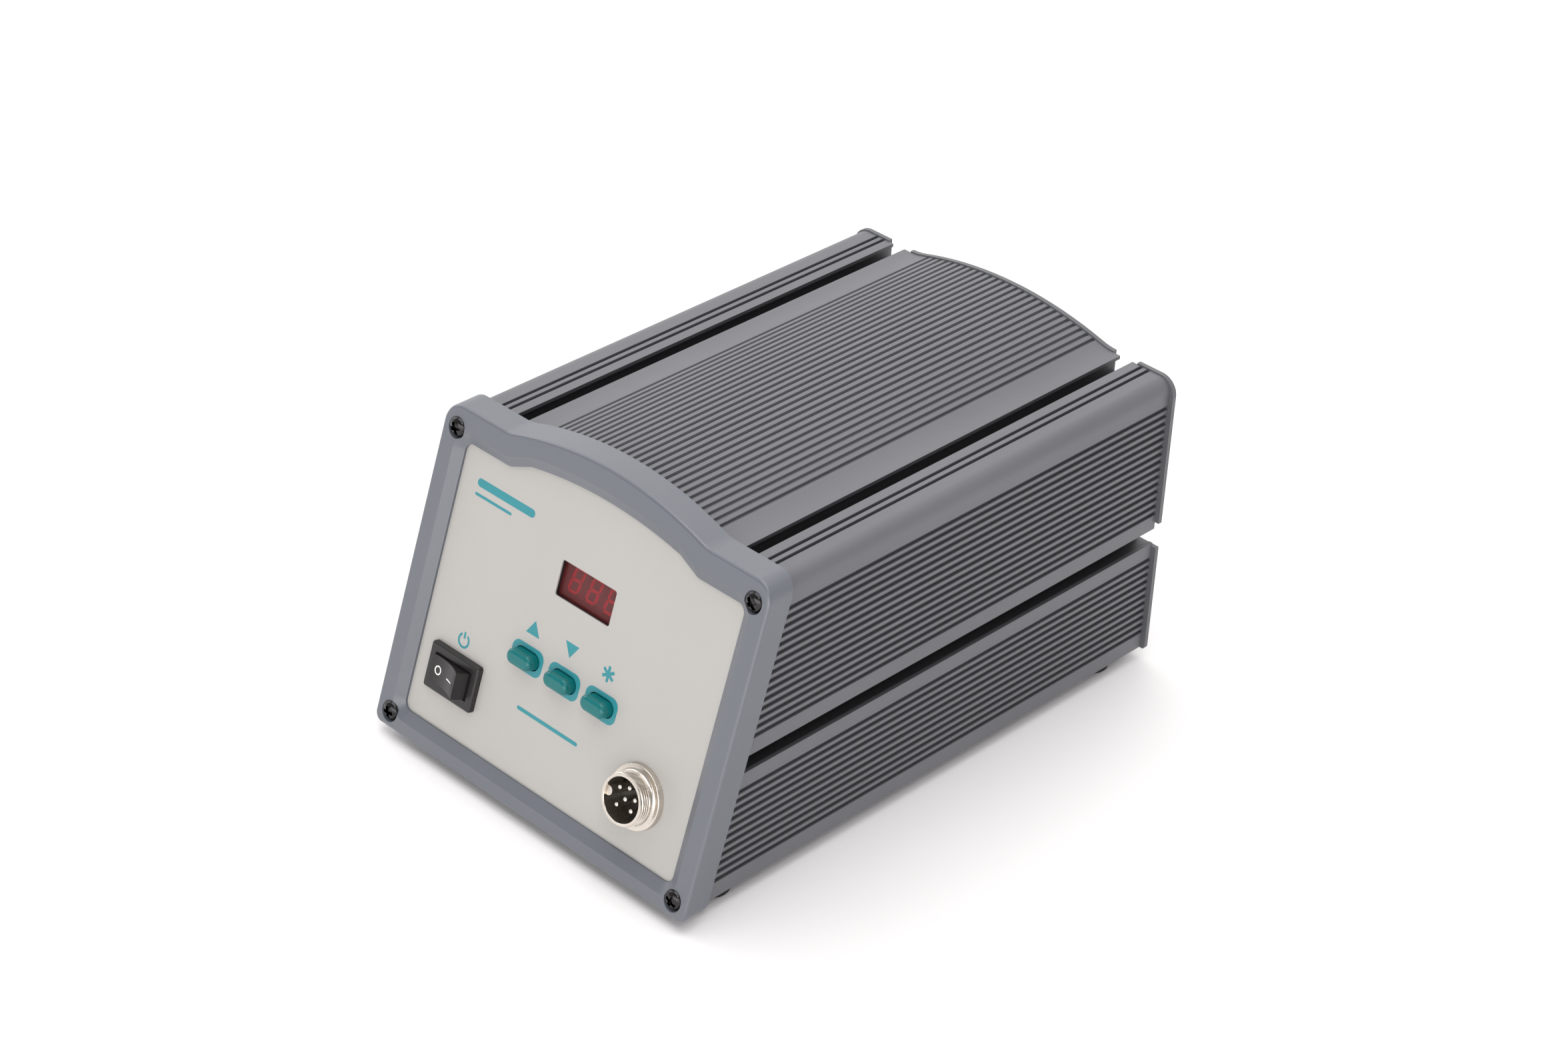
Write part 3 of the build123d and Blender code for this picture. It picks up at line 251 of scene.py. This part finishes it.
# Which finish each CAD node carries
nodeFinish = {
    "anodised": ["housing_extrusion"],
    "bezelAbs": ["front_bezel"],
    "film": ["face_overlay"],
    "capAbs": ["button_up", "button_down", "button_set"],
    "switchNylon": ["rocker_frame", "rocker_paddle"],
    "blackNylon": [
        "panel_backing", "mains_inlet", "fuse_holder", "fuse_cap", "fuse_nut",
        "power_triac", "bridge_rectifier", "controller_chip", "tact_switch_up", "tact_switch_down",
        "tact_switch_set", "plunger_up", "plunger_down", "plunger_set"],
    "phenolic": ["connector_insert"],
    "nickel": ["connector_shell", "connector_key", "connector_nut", "earth_jack"],
    "tinned": ["connector_pins", "inlet_blades", "rocker_tabs"],
    "blackSteel": ["bezel_screws", "rear_screws", "inlet_screws"],
    "zincSteel": [
        "board_standoffs", "board_screws", "connector_washer", "inlet_nuts", "earth_nut", "foot_screws",
        "transformer_strap", "transformer_bolts", "transformer_nuts"],
    "paintedSheet": ["rear_plate"],
    "rubber": ["foot_front_left", "foot_front_right", "foot_rear_left", "foot_rear_right"],
    "redAcrylic": ["display_window"],
    "displayFace": ["led_display"],
    "board": ["display_board", "main_board"],
    "laminations": ["transformer_core"],
    "tape": ["transformer_winding"],
    "naturalNylon": ["transformer_bobbin"],
    "bareAluminium": ["heat_sink"],
    "sleeve": ["smoothing_capacitor"],
    "greenPolyamide": ["terminal_block"],
    "glassTube": ["fuse_link"],
}
for name, nodes in nodeFinish.items():
    for node in nodes:
        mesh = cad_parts[node].data
        mesh.materials.clear()
        mesh.materials.append(finish[name])
print("CAD nodes finished:", sum(len(nodes) for nodes in nodeFinish.values()))


def gridFaces(rows, columns):
    # quads of a grid whose last column joins its first
    i, j = np.meshgrid(np.arange(rows - 1), np.arange(columns), indexing="ij")
    k = (j + 1) % columns
    corners = [i * columns + j, i * columns + k, (i + 1) * columns + k, (i + 1) * columns + j]
    return np.stack(corners, axis=-1).reshape(-1, 4)


def addPiece(name, points, look, body, sharp=35):
    # points is (pieces, rows, columns, 3): each piece is a closed tube of rows whose ends meet at a
    # pole or in one ring, so merging doubles closes it
    pieces, rows, columns, _ = points.shape
    one = gridFaces(rows, columns)
    faces = (one[None] + (np.arange(pieces) * rows * columns)[:, None, None]).reshape(-1, 4)
    mesh = bpy.data.meshes.new(name)
    mesh.from_pydata(points.reshape(-1, 3).tolist(), [], faces.tolist())
    work = bmesh.new()
    work.from_mesh(mesh)
    bmesh.ops.remove_doubles(work, verts=work.verts, dist=weld)
    bmesh.ops.recalc_face_normals(work, faces=work.faces)
    work.to_mesh(mesh)
    work.free()
    mesh.shade_smooth()
    mesh.set_sharp_from_angle(angle=math.radians(sharp))
    mesh.materials.append(finish[look])
    piece = bpy.data.objects.new(name, mesh)
    bpy.context.collection.objects.link(piece)
    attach(piece, body)
    return piece


def plates(outlines, low, high, surface=onFace):
    # thin plates: each outline (n, 2) shrinks to its middle above and below, with a wall between
    outlines = np.asarray(outlines, float)
    middle = outlines.mean(axis=1, keepdims=True)
    rows = [(0, high), (1, high), (1, low), (0, low)]
    return np.stack([
        surface(*np.moveaxis(middle + f * (outlines - middle), -1, 0), t) for f, t in rows], axis=1)


def rings(outer, inner, low, high, surface=onFace):
    # flat rings: a section of four corners carried round two outlines with the same count of points
    rows = [(inner, high), (outer, high), (outer, low), (inner, low), (inner, high)]
    return np.stack([surface(*np.moveaxis(np.asarray(o, float), -1, 0), t) for o, t in rows], axis=1)


def strips(paths, width, low, high, surface=onFace):
    # strips of one width carried along each path (n, 2): a section of four corners square to the path,
    # drawn to its middle at both ends
    paths = np.asarray(paths, float)
    along = np.gradient(paths, axis=1)
    along /= np.linalg.norm(along, axis=-1, keepdims=True)
    side = np.stack([-along[..., 1], along[..., 0]], axis=-1) * width / 2
    corners = [(1, high), (-1, high), (-1, low), (1, low)]
    tube = np.stack([surface(*np.moveaxis(paths + s * side, -1, 0), t) for s, t in corners], axis=2)
    ends = np.repeat(tube.mean(axis=2, keepdims=True), len(corners), axis=2)
    return np.concatenate([ends[:, :1], tube, ends[:, -1:]], axis=1)


def circle(turn):
    # points of a circle of radius 1 at these angles
    return np.stack([np.cos(turn), np.sin(turn)], axis=-1)


def roundedOutline(width, height, radius, steps=9):
    # four quarter circles of the radius round the corners' centres, joined by straight sides
    turn = np.linspace(0, math.pi / 2, steps)
    angles = (turn[None] + np.arange(4)[:, None] * math.pi / 2).ravel()
    signs = np.repeat(np.array([(1, 1), (-1, 1), (-1, -1), (1, -1)]), steps, axis=0)
    centre = signs * np.array([width / 2 - radius, height / 2 - radius])
    return centre + radius * circle(angles)


def addPrint(name, points):
    # teal ink on the face's film
    return addPiece(name, points, "tealInk", "station")


# Prints on the film: pads round the buttons, plain signs above them, a power sign and plain bars
prints = {
    "t": 0.03, "row": (-15.82, 0.0, 15.82), "padV": 42.95,
    "pad": (13.35, 8.5, 2.8), "hole": (10.6, 5.6, 2.8),  # width, height, corner radius
    "triangle": 5.66, "triangleV": (50.53, 55.09), "star": (15.8, 52.9), "starReach": 2.52, "starArm": 1.0,
    "starArms": 6, "armTurns": (-30, -12.5, -10.5, 0, 10.5, 12.5),  # degrees off an arm's line
    "power": (-41.7, 36.6), "powerR": 2.1, "powerLine": 0.75, "powerGap": 32, "powerBar": (0.3, 1.3),
    "arcSteps": 33, "barSteps": 5, "endFlat": 0.01,
    # u, v, length, width
    "bars": [(-38.6, 84.4, 25.0, 2.6), (-43.1, 80.6, 16.0, 0.9), (-2.0, 27.6, 26.0, 1.2)],
}
padPlaces = np.array([(u, prints["padV"]) for u in prints["row"]])[:, None]
padOuter, padInner = (padPlaces + roundedOutline(*prints[edge]) for edge in ("pad", "hole"))
addPrint("button_pads", rings(padOuter, padInner, 0, prints["t"]))

halfSide = prints["triangle"] / 2
foot, tip = prints["triangleV"]
upU, downU, _ = prints["row"]
upward = [(upU - halfSide, foot), (upU + halfSide, foot), (upU, tip)]
downward = [(downU - halfSide, tip), (downU, foot), (downU + halfSide, tip)]
addPrint("arrow_signs", plates([upward, downward], 0, prints["t"]))

# star: radius = the lesser of the reach and half an arm's width over the sine of the angle off its line
armTurn = np.radians(prints["armTurns"])
armLine = np.radians(90 + 360 / prints["starArms"] * np.arange(prints["starArms"]))
offLine = np.abs(np.sin(np.tile(armTurn, prints["starArms"])))
starR = np.minimum(prints["starReach"], prints["starArm"] / 2 / np.maximum(offLine, tiny))
star = prints["star"] + starR[:, None] * circle((armLine[:, None] + armTurn).ravel())
addPrint("star_sign", plates([star], 0, prints["t"]))

# power sign: an open ring, and a bar through its gap
powerU, powerV = prints["power"]
arcTurn = np.radians(np.linspace(90 + prints["powerGap"], 450 - prints["powerGap"], prints["arcSteps"]))
arcPath = prints["powerR"] * circle(arcTurn) + (powerU, powerV)
addPrint("power_ring", strips([arcPath], prints["powerLine"], 0, prints["t"]))
barV = powerV + prints["powerR"] * np.linspace(*prints["powerBar"], prints["barSteps"])
barPath = np.stack([np.full(barV.shape, powerU), barV], axis=-1)
addPrint("power_bar", strips([barPath], prints["powerLine"], 0, prints["t"]))

# plain bars with round ends
barShapes = [roundedOutline(w, h, h / 2 - prints["endFlat"]) + (u, v) for u, v, w, h in prints["bars"]]
addPrint("plain_bars", plates(barShapes, 0, prints["t"]))
print("prints done")

# Display: a red pane over three seven-segment digits with their points
display = {
    "v": 71.38, "pane": (29.8, 17.8, 0.8), "paneT": (-3.3, -1.5),
    "sheetT": (-3.5, -3.44), "segmentT": (-3.46, -3.4),
    "digits": (-7.28, 0.22, 7.72), "digitV": 71.55, "width": 3.65, "height": 7.55, "bar": 0.98, "gap": 0.1,
    "slant": 12.0, "point": 0.36, "pointOut": 1.7, "pointSides": 6,
}
pane = roundedOutline(*display["pane"]) + (0, display["v"])
panePoints = plates([pane], *display["paneT"])
panePiece = addPiece("display_pane", panePoints, "redAcrylic", "station")
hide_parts("display_window")
addPiece("display_sheet", plates([pane], *display["sheetT"]), "displayFace", "station")

# each bar is a hexagon; seven of them stand round two squares, and the digit leans by shearing u with v
wide, tall, bar = display["width"] / 2, display["height"] / 2, display["bar"]
upright = np.array([0, 0, 0, 1, 1, 1, 1], bool)
middle = np.array([
    (0, tall), (0, 0), (0, -tall),
    (-wide, tall / 2), (wide, tall / 2), (-wide, -tall / 2), (wide, -tall / 2)])
reach = np.where(upright, tall / 2, wide) - display["gap"]
hexAlong = np.array([-1, -1, 1, 1, 1, -1])
hexSide = np.array([0, 1, 1, 0, -1, -1]) * bar / 2
hexIn = np.array([0, 1, 1, 0, 1, 1]) * bar / 2
lengthwise = hexAlong * (reach[:, None] - hexIn)
crosswise = np.broadcast_to(hexSide, lengthwise.shape)
lying = np.stack([lengthwise, crosswise], axis=-1)
standing = np.stack([crosswise, lengthwise], axis=-1)
digit = middle[:, None] + np.where(upright[:, None, None], standing, lying)
bars = np.concatenate([digit + (u, 0) for u in display["digits"]])
pointSpots = np.array([(u + wide + display["pointOut"], -tall) for u in display["digits"]])
pointTurn = np.linspace(0, 2 * math.pi, display["pointSides"], endpoint=False)
dots = pointSpots[:, None] + display["point"] * circle(pointTurn)
shear = math.tan(math.radians(display["slant"]))
for name, marks, look in (("display_segments", bars, "segments"), ("display_points", dots, "points")):
    marks = marks + np.stack([marks[..., 1] * shear, np.full(marks.shape[:2], display["digitV"])], axis=-1)
    addPiece(name, plates(marks, *display["segmentT"]), look, "station")
print("display done")

# Rocker marks: they lie on the paddle's hollow top, which is an arc tilted about the hinge
rocker = {
    "u": -41.7, "v": 24.9, "hingeT": 0.5, "tilt": 13.0, "tip": 6.9, "tipT": 4.2, "dipT": 2.9,
    "inkT": (-0.01, 0.02), "ring": (-4.05, -0.05), "ringR": ((1.35, 1.5), (0.93, 1.08)), "around": 48,
    "dash": (0.6, 3.75), "dashV": -0.55, "dashLine": 0.38, "dashSteps": 9,
}


def onPaddle(x, v, t):
    # height = the arc through both tips and the dip, plus t; then turned by the tilt about the hinge
    x, v, t = np.broadcast_arrays(np.asarray(x, float), v, t)
    rise = rocker["tipT"] - rocker["dipT"]
    arcR = (rocker["tip"] ** 2 + rise ** 2) / (2 * rise)
    height = rocker["dipT"] + arcR - np.sqrt(arcR ** 2 - x ** 2) + t
    tilt = math.radians(rocker["tilt"])
    return onFace(rocker["u"] + x * math.cos(tilt) - height * math.sin(tilt), rocker["v"] + v,
                  rocker["hingeT"] + x * math.sin(tilt) + height * math.cos(tilt))


ringTurn = np.linspace(0, 2 * math.pi, rocker["around"], endpoint=False)
ringOuter, ringInner = (circle(ringTurn) * r + rocker["ring"] for r in rocker["ringR"])
addPiece("rocker_ring_mark", rings([ringOuter], [ringInner], *rocker["inkT"], onPaddle),
         "whiteInk", "rocker")
dashX = np.linspace(*rocker["dash"], rocker["dashSteps"])
dashPath = np.stack([dashX, np.full(dashX.shape, rocker["dashV"])], axis=-1)
addPiece("rocker_dash_mark", strips([dashPath], rocker["dashLine"], *rocker["inkT"], onPaddle),
         "whiteInk", "rocker")
print("rocker marks done")

# Round connector's shell: flange, neck and threaded collar turned about the connector's axis
shell = {
    "u": 38.05, "v": 24.6, "flangeR": 9.9, "flangeT": 2.1, "edge": 0.3, "fillet": 1.1, "neckR": 7.7,
    "collarT": 3.3, "outT": 7.3, "boreR": 6.85, "tailT": -9.0, "chamfer": 0.3, "mouth": 0.1, "step": 0.05,
    "crestR": 8.0, "rootR": 7.4, "pitch": 0.85, "flank": 1.5, "crestFlat": 0.25,  # thread
    "runIn": 0.4, "runOut": 0.6, "taper": 0.3, "arcSteps": 5, "collarRows": 61, "around": 144,
}
flangeR, neckR, crestR, boreR = (shell[k] for k in ("flangeR", "neckR", "crestR", "boreR"))
flangeT, collarT, outT, tailT = (shell[k] for k in ("flangeT", "collarT", "outT", "tailT"))
threadEnd = outT - shell["chamfer"]
arc = np.linspace(0, math.pi / 2, shell["arcSteps"])
collar = np.linspace(collarT, threadEnd, shell["collarRows"])
# profile of (t, radius): quarter circles round the flange's edge and into the neck, straight runs between
flangeEdge = np.stack([
    flangeT - shell["edge"] * (1 - np.sin(arc)), flangeR - shell["edge"] * (1 - np.cos(arc))], axis=-1)
neckFillet = np.stack([
    flangeT + shell["fillet"] * (1 - np.cos(arc)), neckR + shell["fillet"] * (1 - np.sin(arc))], axis=-1)
profile = np.concatenate([
    [(tailT, boreR), (tailT, crestR), (0, crestR), (0, flangeR)],
    flangeEdge, neckFillet, [(collarT - shell["step"], neckR)],
    np.stack([collar, np.full(collar.shape, crestR)], axis=-1),
    [(outT, crestR - shell["chamfer"]), (outT, boreR + shell["mouth"]),
     (outT - shell["mouth"], boreR), (tailT, boreR)]])
turn = np.linspace(0, 2 * math.pi, shell["around"], endpoint=False)
along, radius = profile[:, :1], np.repeat(profile[:, 1:], shell["around"], axis=1)
# thread: the radius falls from crest to root as a rounded V whose phase runs with t and the turn, and
# fades out at both ends of the collar
phase = (along / shell["pitch"] - turn / (2 * math.pi)) % 1.0
flanks = np.clip(shell["flank"] * np.abs(2 * phase - 1) - shell["crestFlat"], 0, 1)
fall = flanks * (crestR - shell["rootR"])
inCollar = (along >= collarT) & (along <= threadEnd) & (radius == crestR)
fade = np.clip((along - collarT) / shell["runIn"], 0, 1) * np.clip((outT - along) / shell["runOut"], 0, 1)
start = np.clip((collarT + shell["taper"] - along) / shell["taper"], 0, 1) * (crestR - neckR)
radius = np.where(inCollar, radius - np.maximum(fall * fade, start), radius)
collarPoints = onFace(shell["u"] + radius * np.cos(turn), shell["v"] + radius * np.sin(turn), along)
shellPiece = addPiece("connector_collar", collarPoints[None], "nickel", "station")
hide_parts("connector_shell")
print("connector collar done")

# Cross-head screws. seats is where their heads sit: highZ, lowZ and inletZ are above the housing's base,
# footY is behind the foot of the front, and boltX and boltY are from the middle of the transformer's core
seats = {
    "bezelX": 61.85, "highZ": 93.7, "lowZ": 4.4, "bezelFace": 2.8, "seatRise": 1.0,
    "rearY": 97.8611, "inletX": (12.0, 52.0), "inletZ": 28.0, "inletFlange": 2.5,
    "footX": 56.5, "footY": (19.0, 187.0), "footZ": 2.2, "coreY": 30.3611, "boltX": 46.6, "boltY": 9.0,
}
bezelX, rearY = seats["bezelX"], seats["rearY"]
frontY, baseZ = facePlane["frontY"], facePlane["baseZ"]
slope = math.radians(facePlane["lean"])
seatOut = seats["bezelFace"] / math.cos(slope) - seats["seatRise"]
bezelSeats = [
    (frontY + z * math.tan(slope) - seatOut, z + baseZ)
    for z in (seats["highZ"], seats["lowZ"])]
# head is radius and height, shank is radius and length, turns are the crosses' angles in degrees
screws = {
    "bezel_screws": {
        "axis": (0, -1, 0), "turns": (20, 38, 5, 62), "head": (3.27, 2.0), "shank": (1.45, 16.0),
        "look": "blackSteel", "slot": "black_steel",
        "places": [(x, y, z) for y, z in bezelSeats for x in (-bezelX, bezelX)]},
    "rear_screws": {
        "axis": (0, 1, 0), "turns": (12, 51, 33, 74), "head": (3.0, 2.0), "shank": (1.45, 10.0),
        "look": "blackSteel", "slot": "black_steel",
        "places": [(x, rearY, z + baseZ)
                   for x in (-bezelX, bezelX) for z in (seats["lowZ"], seats["highZ"])]},
    "inlet_screws": {
        "axis": (0, 1, 0), "turns": (27, 66), "head": (3.0, 2.0), "shank": (1.45, 9.0),
        "look": "blackSteel", "slot": "black_steel",
        "places": [(x, rearY + seats["inletFlange"], seats["inletZ"] + baseZ) for x in seats["inletX"]]},
    "foot_screws": {
        "axis": (0, 0, -1), "turns": (8, 30, 45, 70), "head": (2.8, 1.6), "shank": (1.45, 6.6),
        "look": "zincSteel", "slot": "plated_steel",
        "places": [(x, frontY + y, seats["footZ"])
                   for y in seats["footY"] for x in (-seats["footX"], seats["footX"])]},
    "transformer_bolts": {
        "axis": (0, 0, -1), "turns": (15, 55, 80, 40), "head": (3.5, 2.2), "shank": (2.0, 8.6),
        "look": "zincSteel", "slot": "plated_steel",
        "places": [(x, seats["coreY"] + y, baseZ)
                   for x in (-seats["boltX"], seats["boltX"]) for y in (-seats["boltY"], seats["boltY"])]},
}
# cross: reach, width and depth are parts of the head's size, rise is the part of the depth lost at an
# arm's end, crown and side are the superellipse's powers, rows are the radii of the rings inside the cross
# as parts of half an arm, lip is where the rim's rings start as a part of the reach, and columns are the
# lines across a quarter, with the arm's edges at armEdge
cross = {
    "reach": 0.6, "width": 0.38, "depth": 0.95, "rise": 0.4, "crown": 2.5, "side": 1.9,
    "lip": 1.02, "rimRows": 12, "sharp": 30,
    "rows": (0, 0.5, 1.0, 1.41, 1.45, 1.8, 2.2, 2.7), "armEdge": 0.5,
    "columns": (-1, -0.75, -0.54, -0.5, -0.25, 0, 0.25, 0.5, 0.54, 0.75),
}


def crossScrew(axis, places, turns, head, shank):
    # a head turned from a superellipse, and a cross pressed into it: columns follow the arms' edges, so at
    # each radius the arm's half angle is the arcsine of half its width over the radius
    headR, headT = head
    shankR, shankT = shank
    reach, halfArm, quarter = cross["reach"] * headR, cross["width"] * headR / 2, math.pi / 4
    rimStart = math.asin(cross["lip"] * cross["reach"])
    rim = headR * np.sin(np.linspace(rimStart, math.pi / 2, cross["rimRows"]))
    r = np.concatenate([np.array(cross["rows"]) * halfArm, [reach], rim])
    crown = headT * np.maximum(1 - (r / headR) ** cross["crown"], 0) ** (1 / cross["side"])
    column = np.array(cross["columns"])
    offMiddle, edge = np.abs(column), cross["armEdge"]
    arm = np.arcsin(np.minimum(halfArm / np.maximum(r, tiny), math.sin(quarter)))[:, None]
    outside = arm + (offMiddle - edge) / (1 - edge) * (quarter - arm)
    swing = np.sign(column) * np.where(offMiddle <= edge, offMiddle / edge * arm, outside)
    angle = (swing[:, None] + (np.arange(4) * math.pi / 2)[:, None]).reshape(len(r), -1)
    inArm = np.tile(offMiddle <= edge, 4)[None] | (r < math.sqrt(2) * halfArm)[:, None]
    inCross = inArm & (r <= reach + tiny)[:, None]
    sunk = cross["depth"] * headT * (1 - cross["rise"] * r / reach)
    top = np.where(inCross, (crown - sunk)[:, None], crown[:, None])
    under = [(headR, 0.0), (shankR, 0.0), (shankR, -shankT), (0.0, -shankT)]
    radius = np.concatenate([r, [p[0] for p in under]])[:, None]
    height = np.concatenate([top, [[p[1]] * angle.shape[1] for p in under]])
    angle = np.concatenate([angle, np.repeat(angle[-1:], len(under), axis=0)])
    out = np.array(axis, float)
    across = np.array((1.0, 0, 0))
    square = np.cross(out, across)
    angle = angle[None] + np.radians(turns)[:, None, None]
    spot = np.array(places)[:, None, None]
    flat = (radius * np.cos(angle))[..., None] * across + (radius * np.sin(angle))[..., None] * square
    return (spot + flat + np.broadcast_to(height, angle.shape)[..., None] * out) * mm


for name, screw in screws.items():
    points = crossScrew(*(screw[k] for k in ("axis", "places", "turns", "head", "shank")))
    piece = addPiece("cross_" + name, points, screw["look"], "station", cross["sharp"])
    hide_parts(name)
print("screws done")

# Stage: paper sweep, soft light and the photograph's camera
stage = {
    # floorGlow is where the paper's glow starts, where it is full, and its strength there
    "floorSize": 8.0, "floorGlow": (0.6, 2.4, 0.7), "world": 0.64, "worldLean": (-0.19, 0.445, 0.0),
    "aim": (0, 0, 0.05),
    "lights": {  # place, power in watts, width and height; lengths in metres
        "top_light": ((0.0, 0.05, 1.8), 18.0, 1.6, 1.6),
        "left_light": ((-1.7, -0.1, 0.9), 10.0, 1.4, 1.4),
        "back_light": ((-1.1, 1.3, 1.0), 3.5, 1.4, 1.4),
        "front_light": ((0.75, -1.65, 0.44), 21.0, 2.6, 0.9),
        "key_light": ((1.0, -0.75, 1.5), 4.0, 0.26, 0.26)},
}
half = stage["floorSize"] / 2
floorMesh = bpy.data.meshes.new("floor")
floorCorners = [(-half, -half, 0), (half, -half, 0), (half, half, 0), (-half, half, 0)]
floorMesh.from_pydata(floorCorners, [], [(0, 1, 2, 3)])
floorMesh.materials.append(finish["paper"])
floor = bpy.data.objects.new("floor", floorMesh)
bpy.context.collection.objects.link(floor)
# the paper is lit from below towards its edge, so it stays white as far as it goes
paper = finish["paper"].node_tree
spot = addNode(paper, "ShaderNodeTexCoord", {}).outputs["Object"]
away = addNode(paper, "ShaderNodeVectorMath", {0: spot}, operation="LENGTH")
nearby, farOff, farGlow = stage["floorGlow"]
lit = addNode(paper, "ShaderNodeMapRange", {
    "Value": away.outputs["Value"], "From Min": nearby, "From Max": farOff,
    "To Min": 0.0, "To Max": farGlow})
paper.links.new(lit.outputs["Result"], paper.nodes["Principled BSDF"].inputs["Emission Strength"])

world = bpy.data.worlds.new("studio")
bpy.context.scene.world = world
world.use_nodes = True
room = world.node_tree
sky = room.nodes["Background"]
sky.inputs["Color"].default_value = linearColour("fdfbfb")
# the room is brighter behind and to the left: strength = world + direction . worldLean
direction = addNode(room, "ShaderNodeTexCoord", {}).outputs["Generated"]
leaning = addNode(
    room, "ShaderNodeVectorMath", {0: direction, 1: stage["worldLean"]}, operation="DOT_PRODUCT")
glow = addNode(room, "ShaderNodeMath", {0: leaning.outputs["Value"], 1: stage["world"]}, operation="ADD")
room.links.new(glow.outputs["Value"], sky.inputs["Strength"])

# soft boxes aimed at the middle of the object, out of the camera's sight
for name, (place, power, boxWidth, boxHeight) in stage["lights"].items():
    light = bpy.data.objects.new(name, bpy.data.lights.new(name, "AREA"))
    light.data.energy = power
    light.data.shape = "RECTANGLE"
    light.data.size, light.data.size_y = boxWidth, boxHeight
    light.location = place
    light.rotation_euler = (Vector(stage["aim"]) - light.location).to_track_quat("-Z", "Y").to_euler()
    light.visible_camera = False
    bpy.context.collection.objects.link(light)

# camera: angles in degrees, focal length in pixels of the whole image, sensor and place in mm, near in m
view = {"azimuth": 43.228, "elevation": 32.570, "roll": 2.815, "focal": 5386.92, "imageWidth": 2352,
        "sensor": 36.0, "near": 0.01, "place": (627.50, -669.449, 647.31)}
az, el, roll = (math.radians(view[k]) for k in ("azimuth", "elevation", "roll"))
back = Vector((math.sin(az) * math.cos(el), -math.cos(az) * math.cos(el), math.sin(el)))
level = Vector((math.cos(az), math.sin(az), 0))
raised = back.cross(level)
right = math.cos(roll) * level + math.sin(roll) * raised
up = -math.sin(roll) * level + math.cos(roll) * raised
camera = bpy.data.objects.new("camera", bpy.data.cameras.new("camera"))
camera.data.sensor_fit = "HORIZONTAL"
camera.data.sensor_width = view["sensor"]
camera.data.lens = view["focal"] * view["sensor"] / view["imageWidth"]
camera.data.clip_start = view["near"]
turned = Matrix((right, up, back)).transposed().to_4x4()
camera.matrix_world = Matrix.Translation(Vector(view["place"]) * mm) @ turned
bpy.context.collection.objects.link(camera)
bpy.context.scene.camera = camera
bpy.context.scene.view_settings.view_transform = "Standard"
print("stage set")
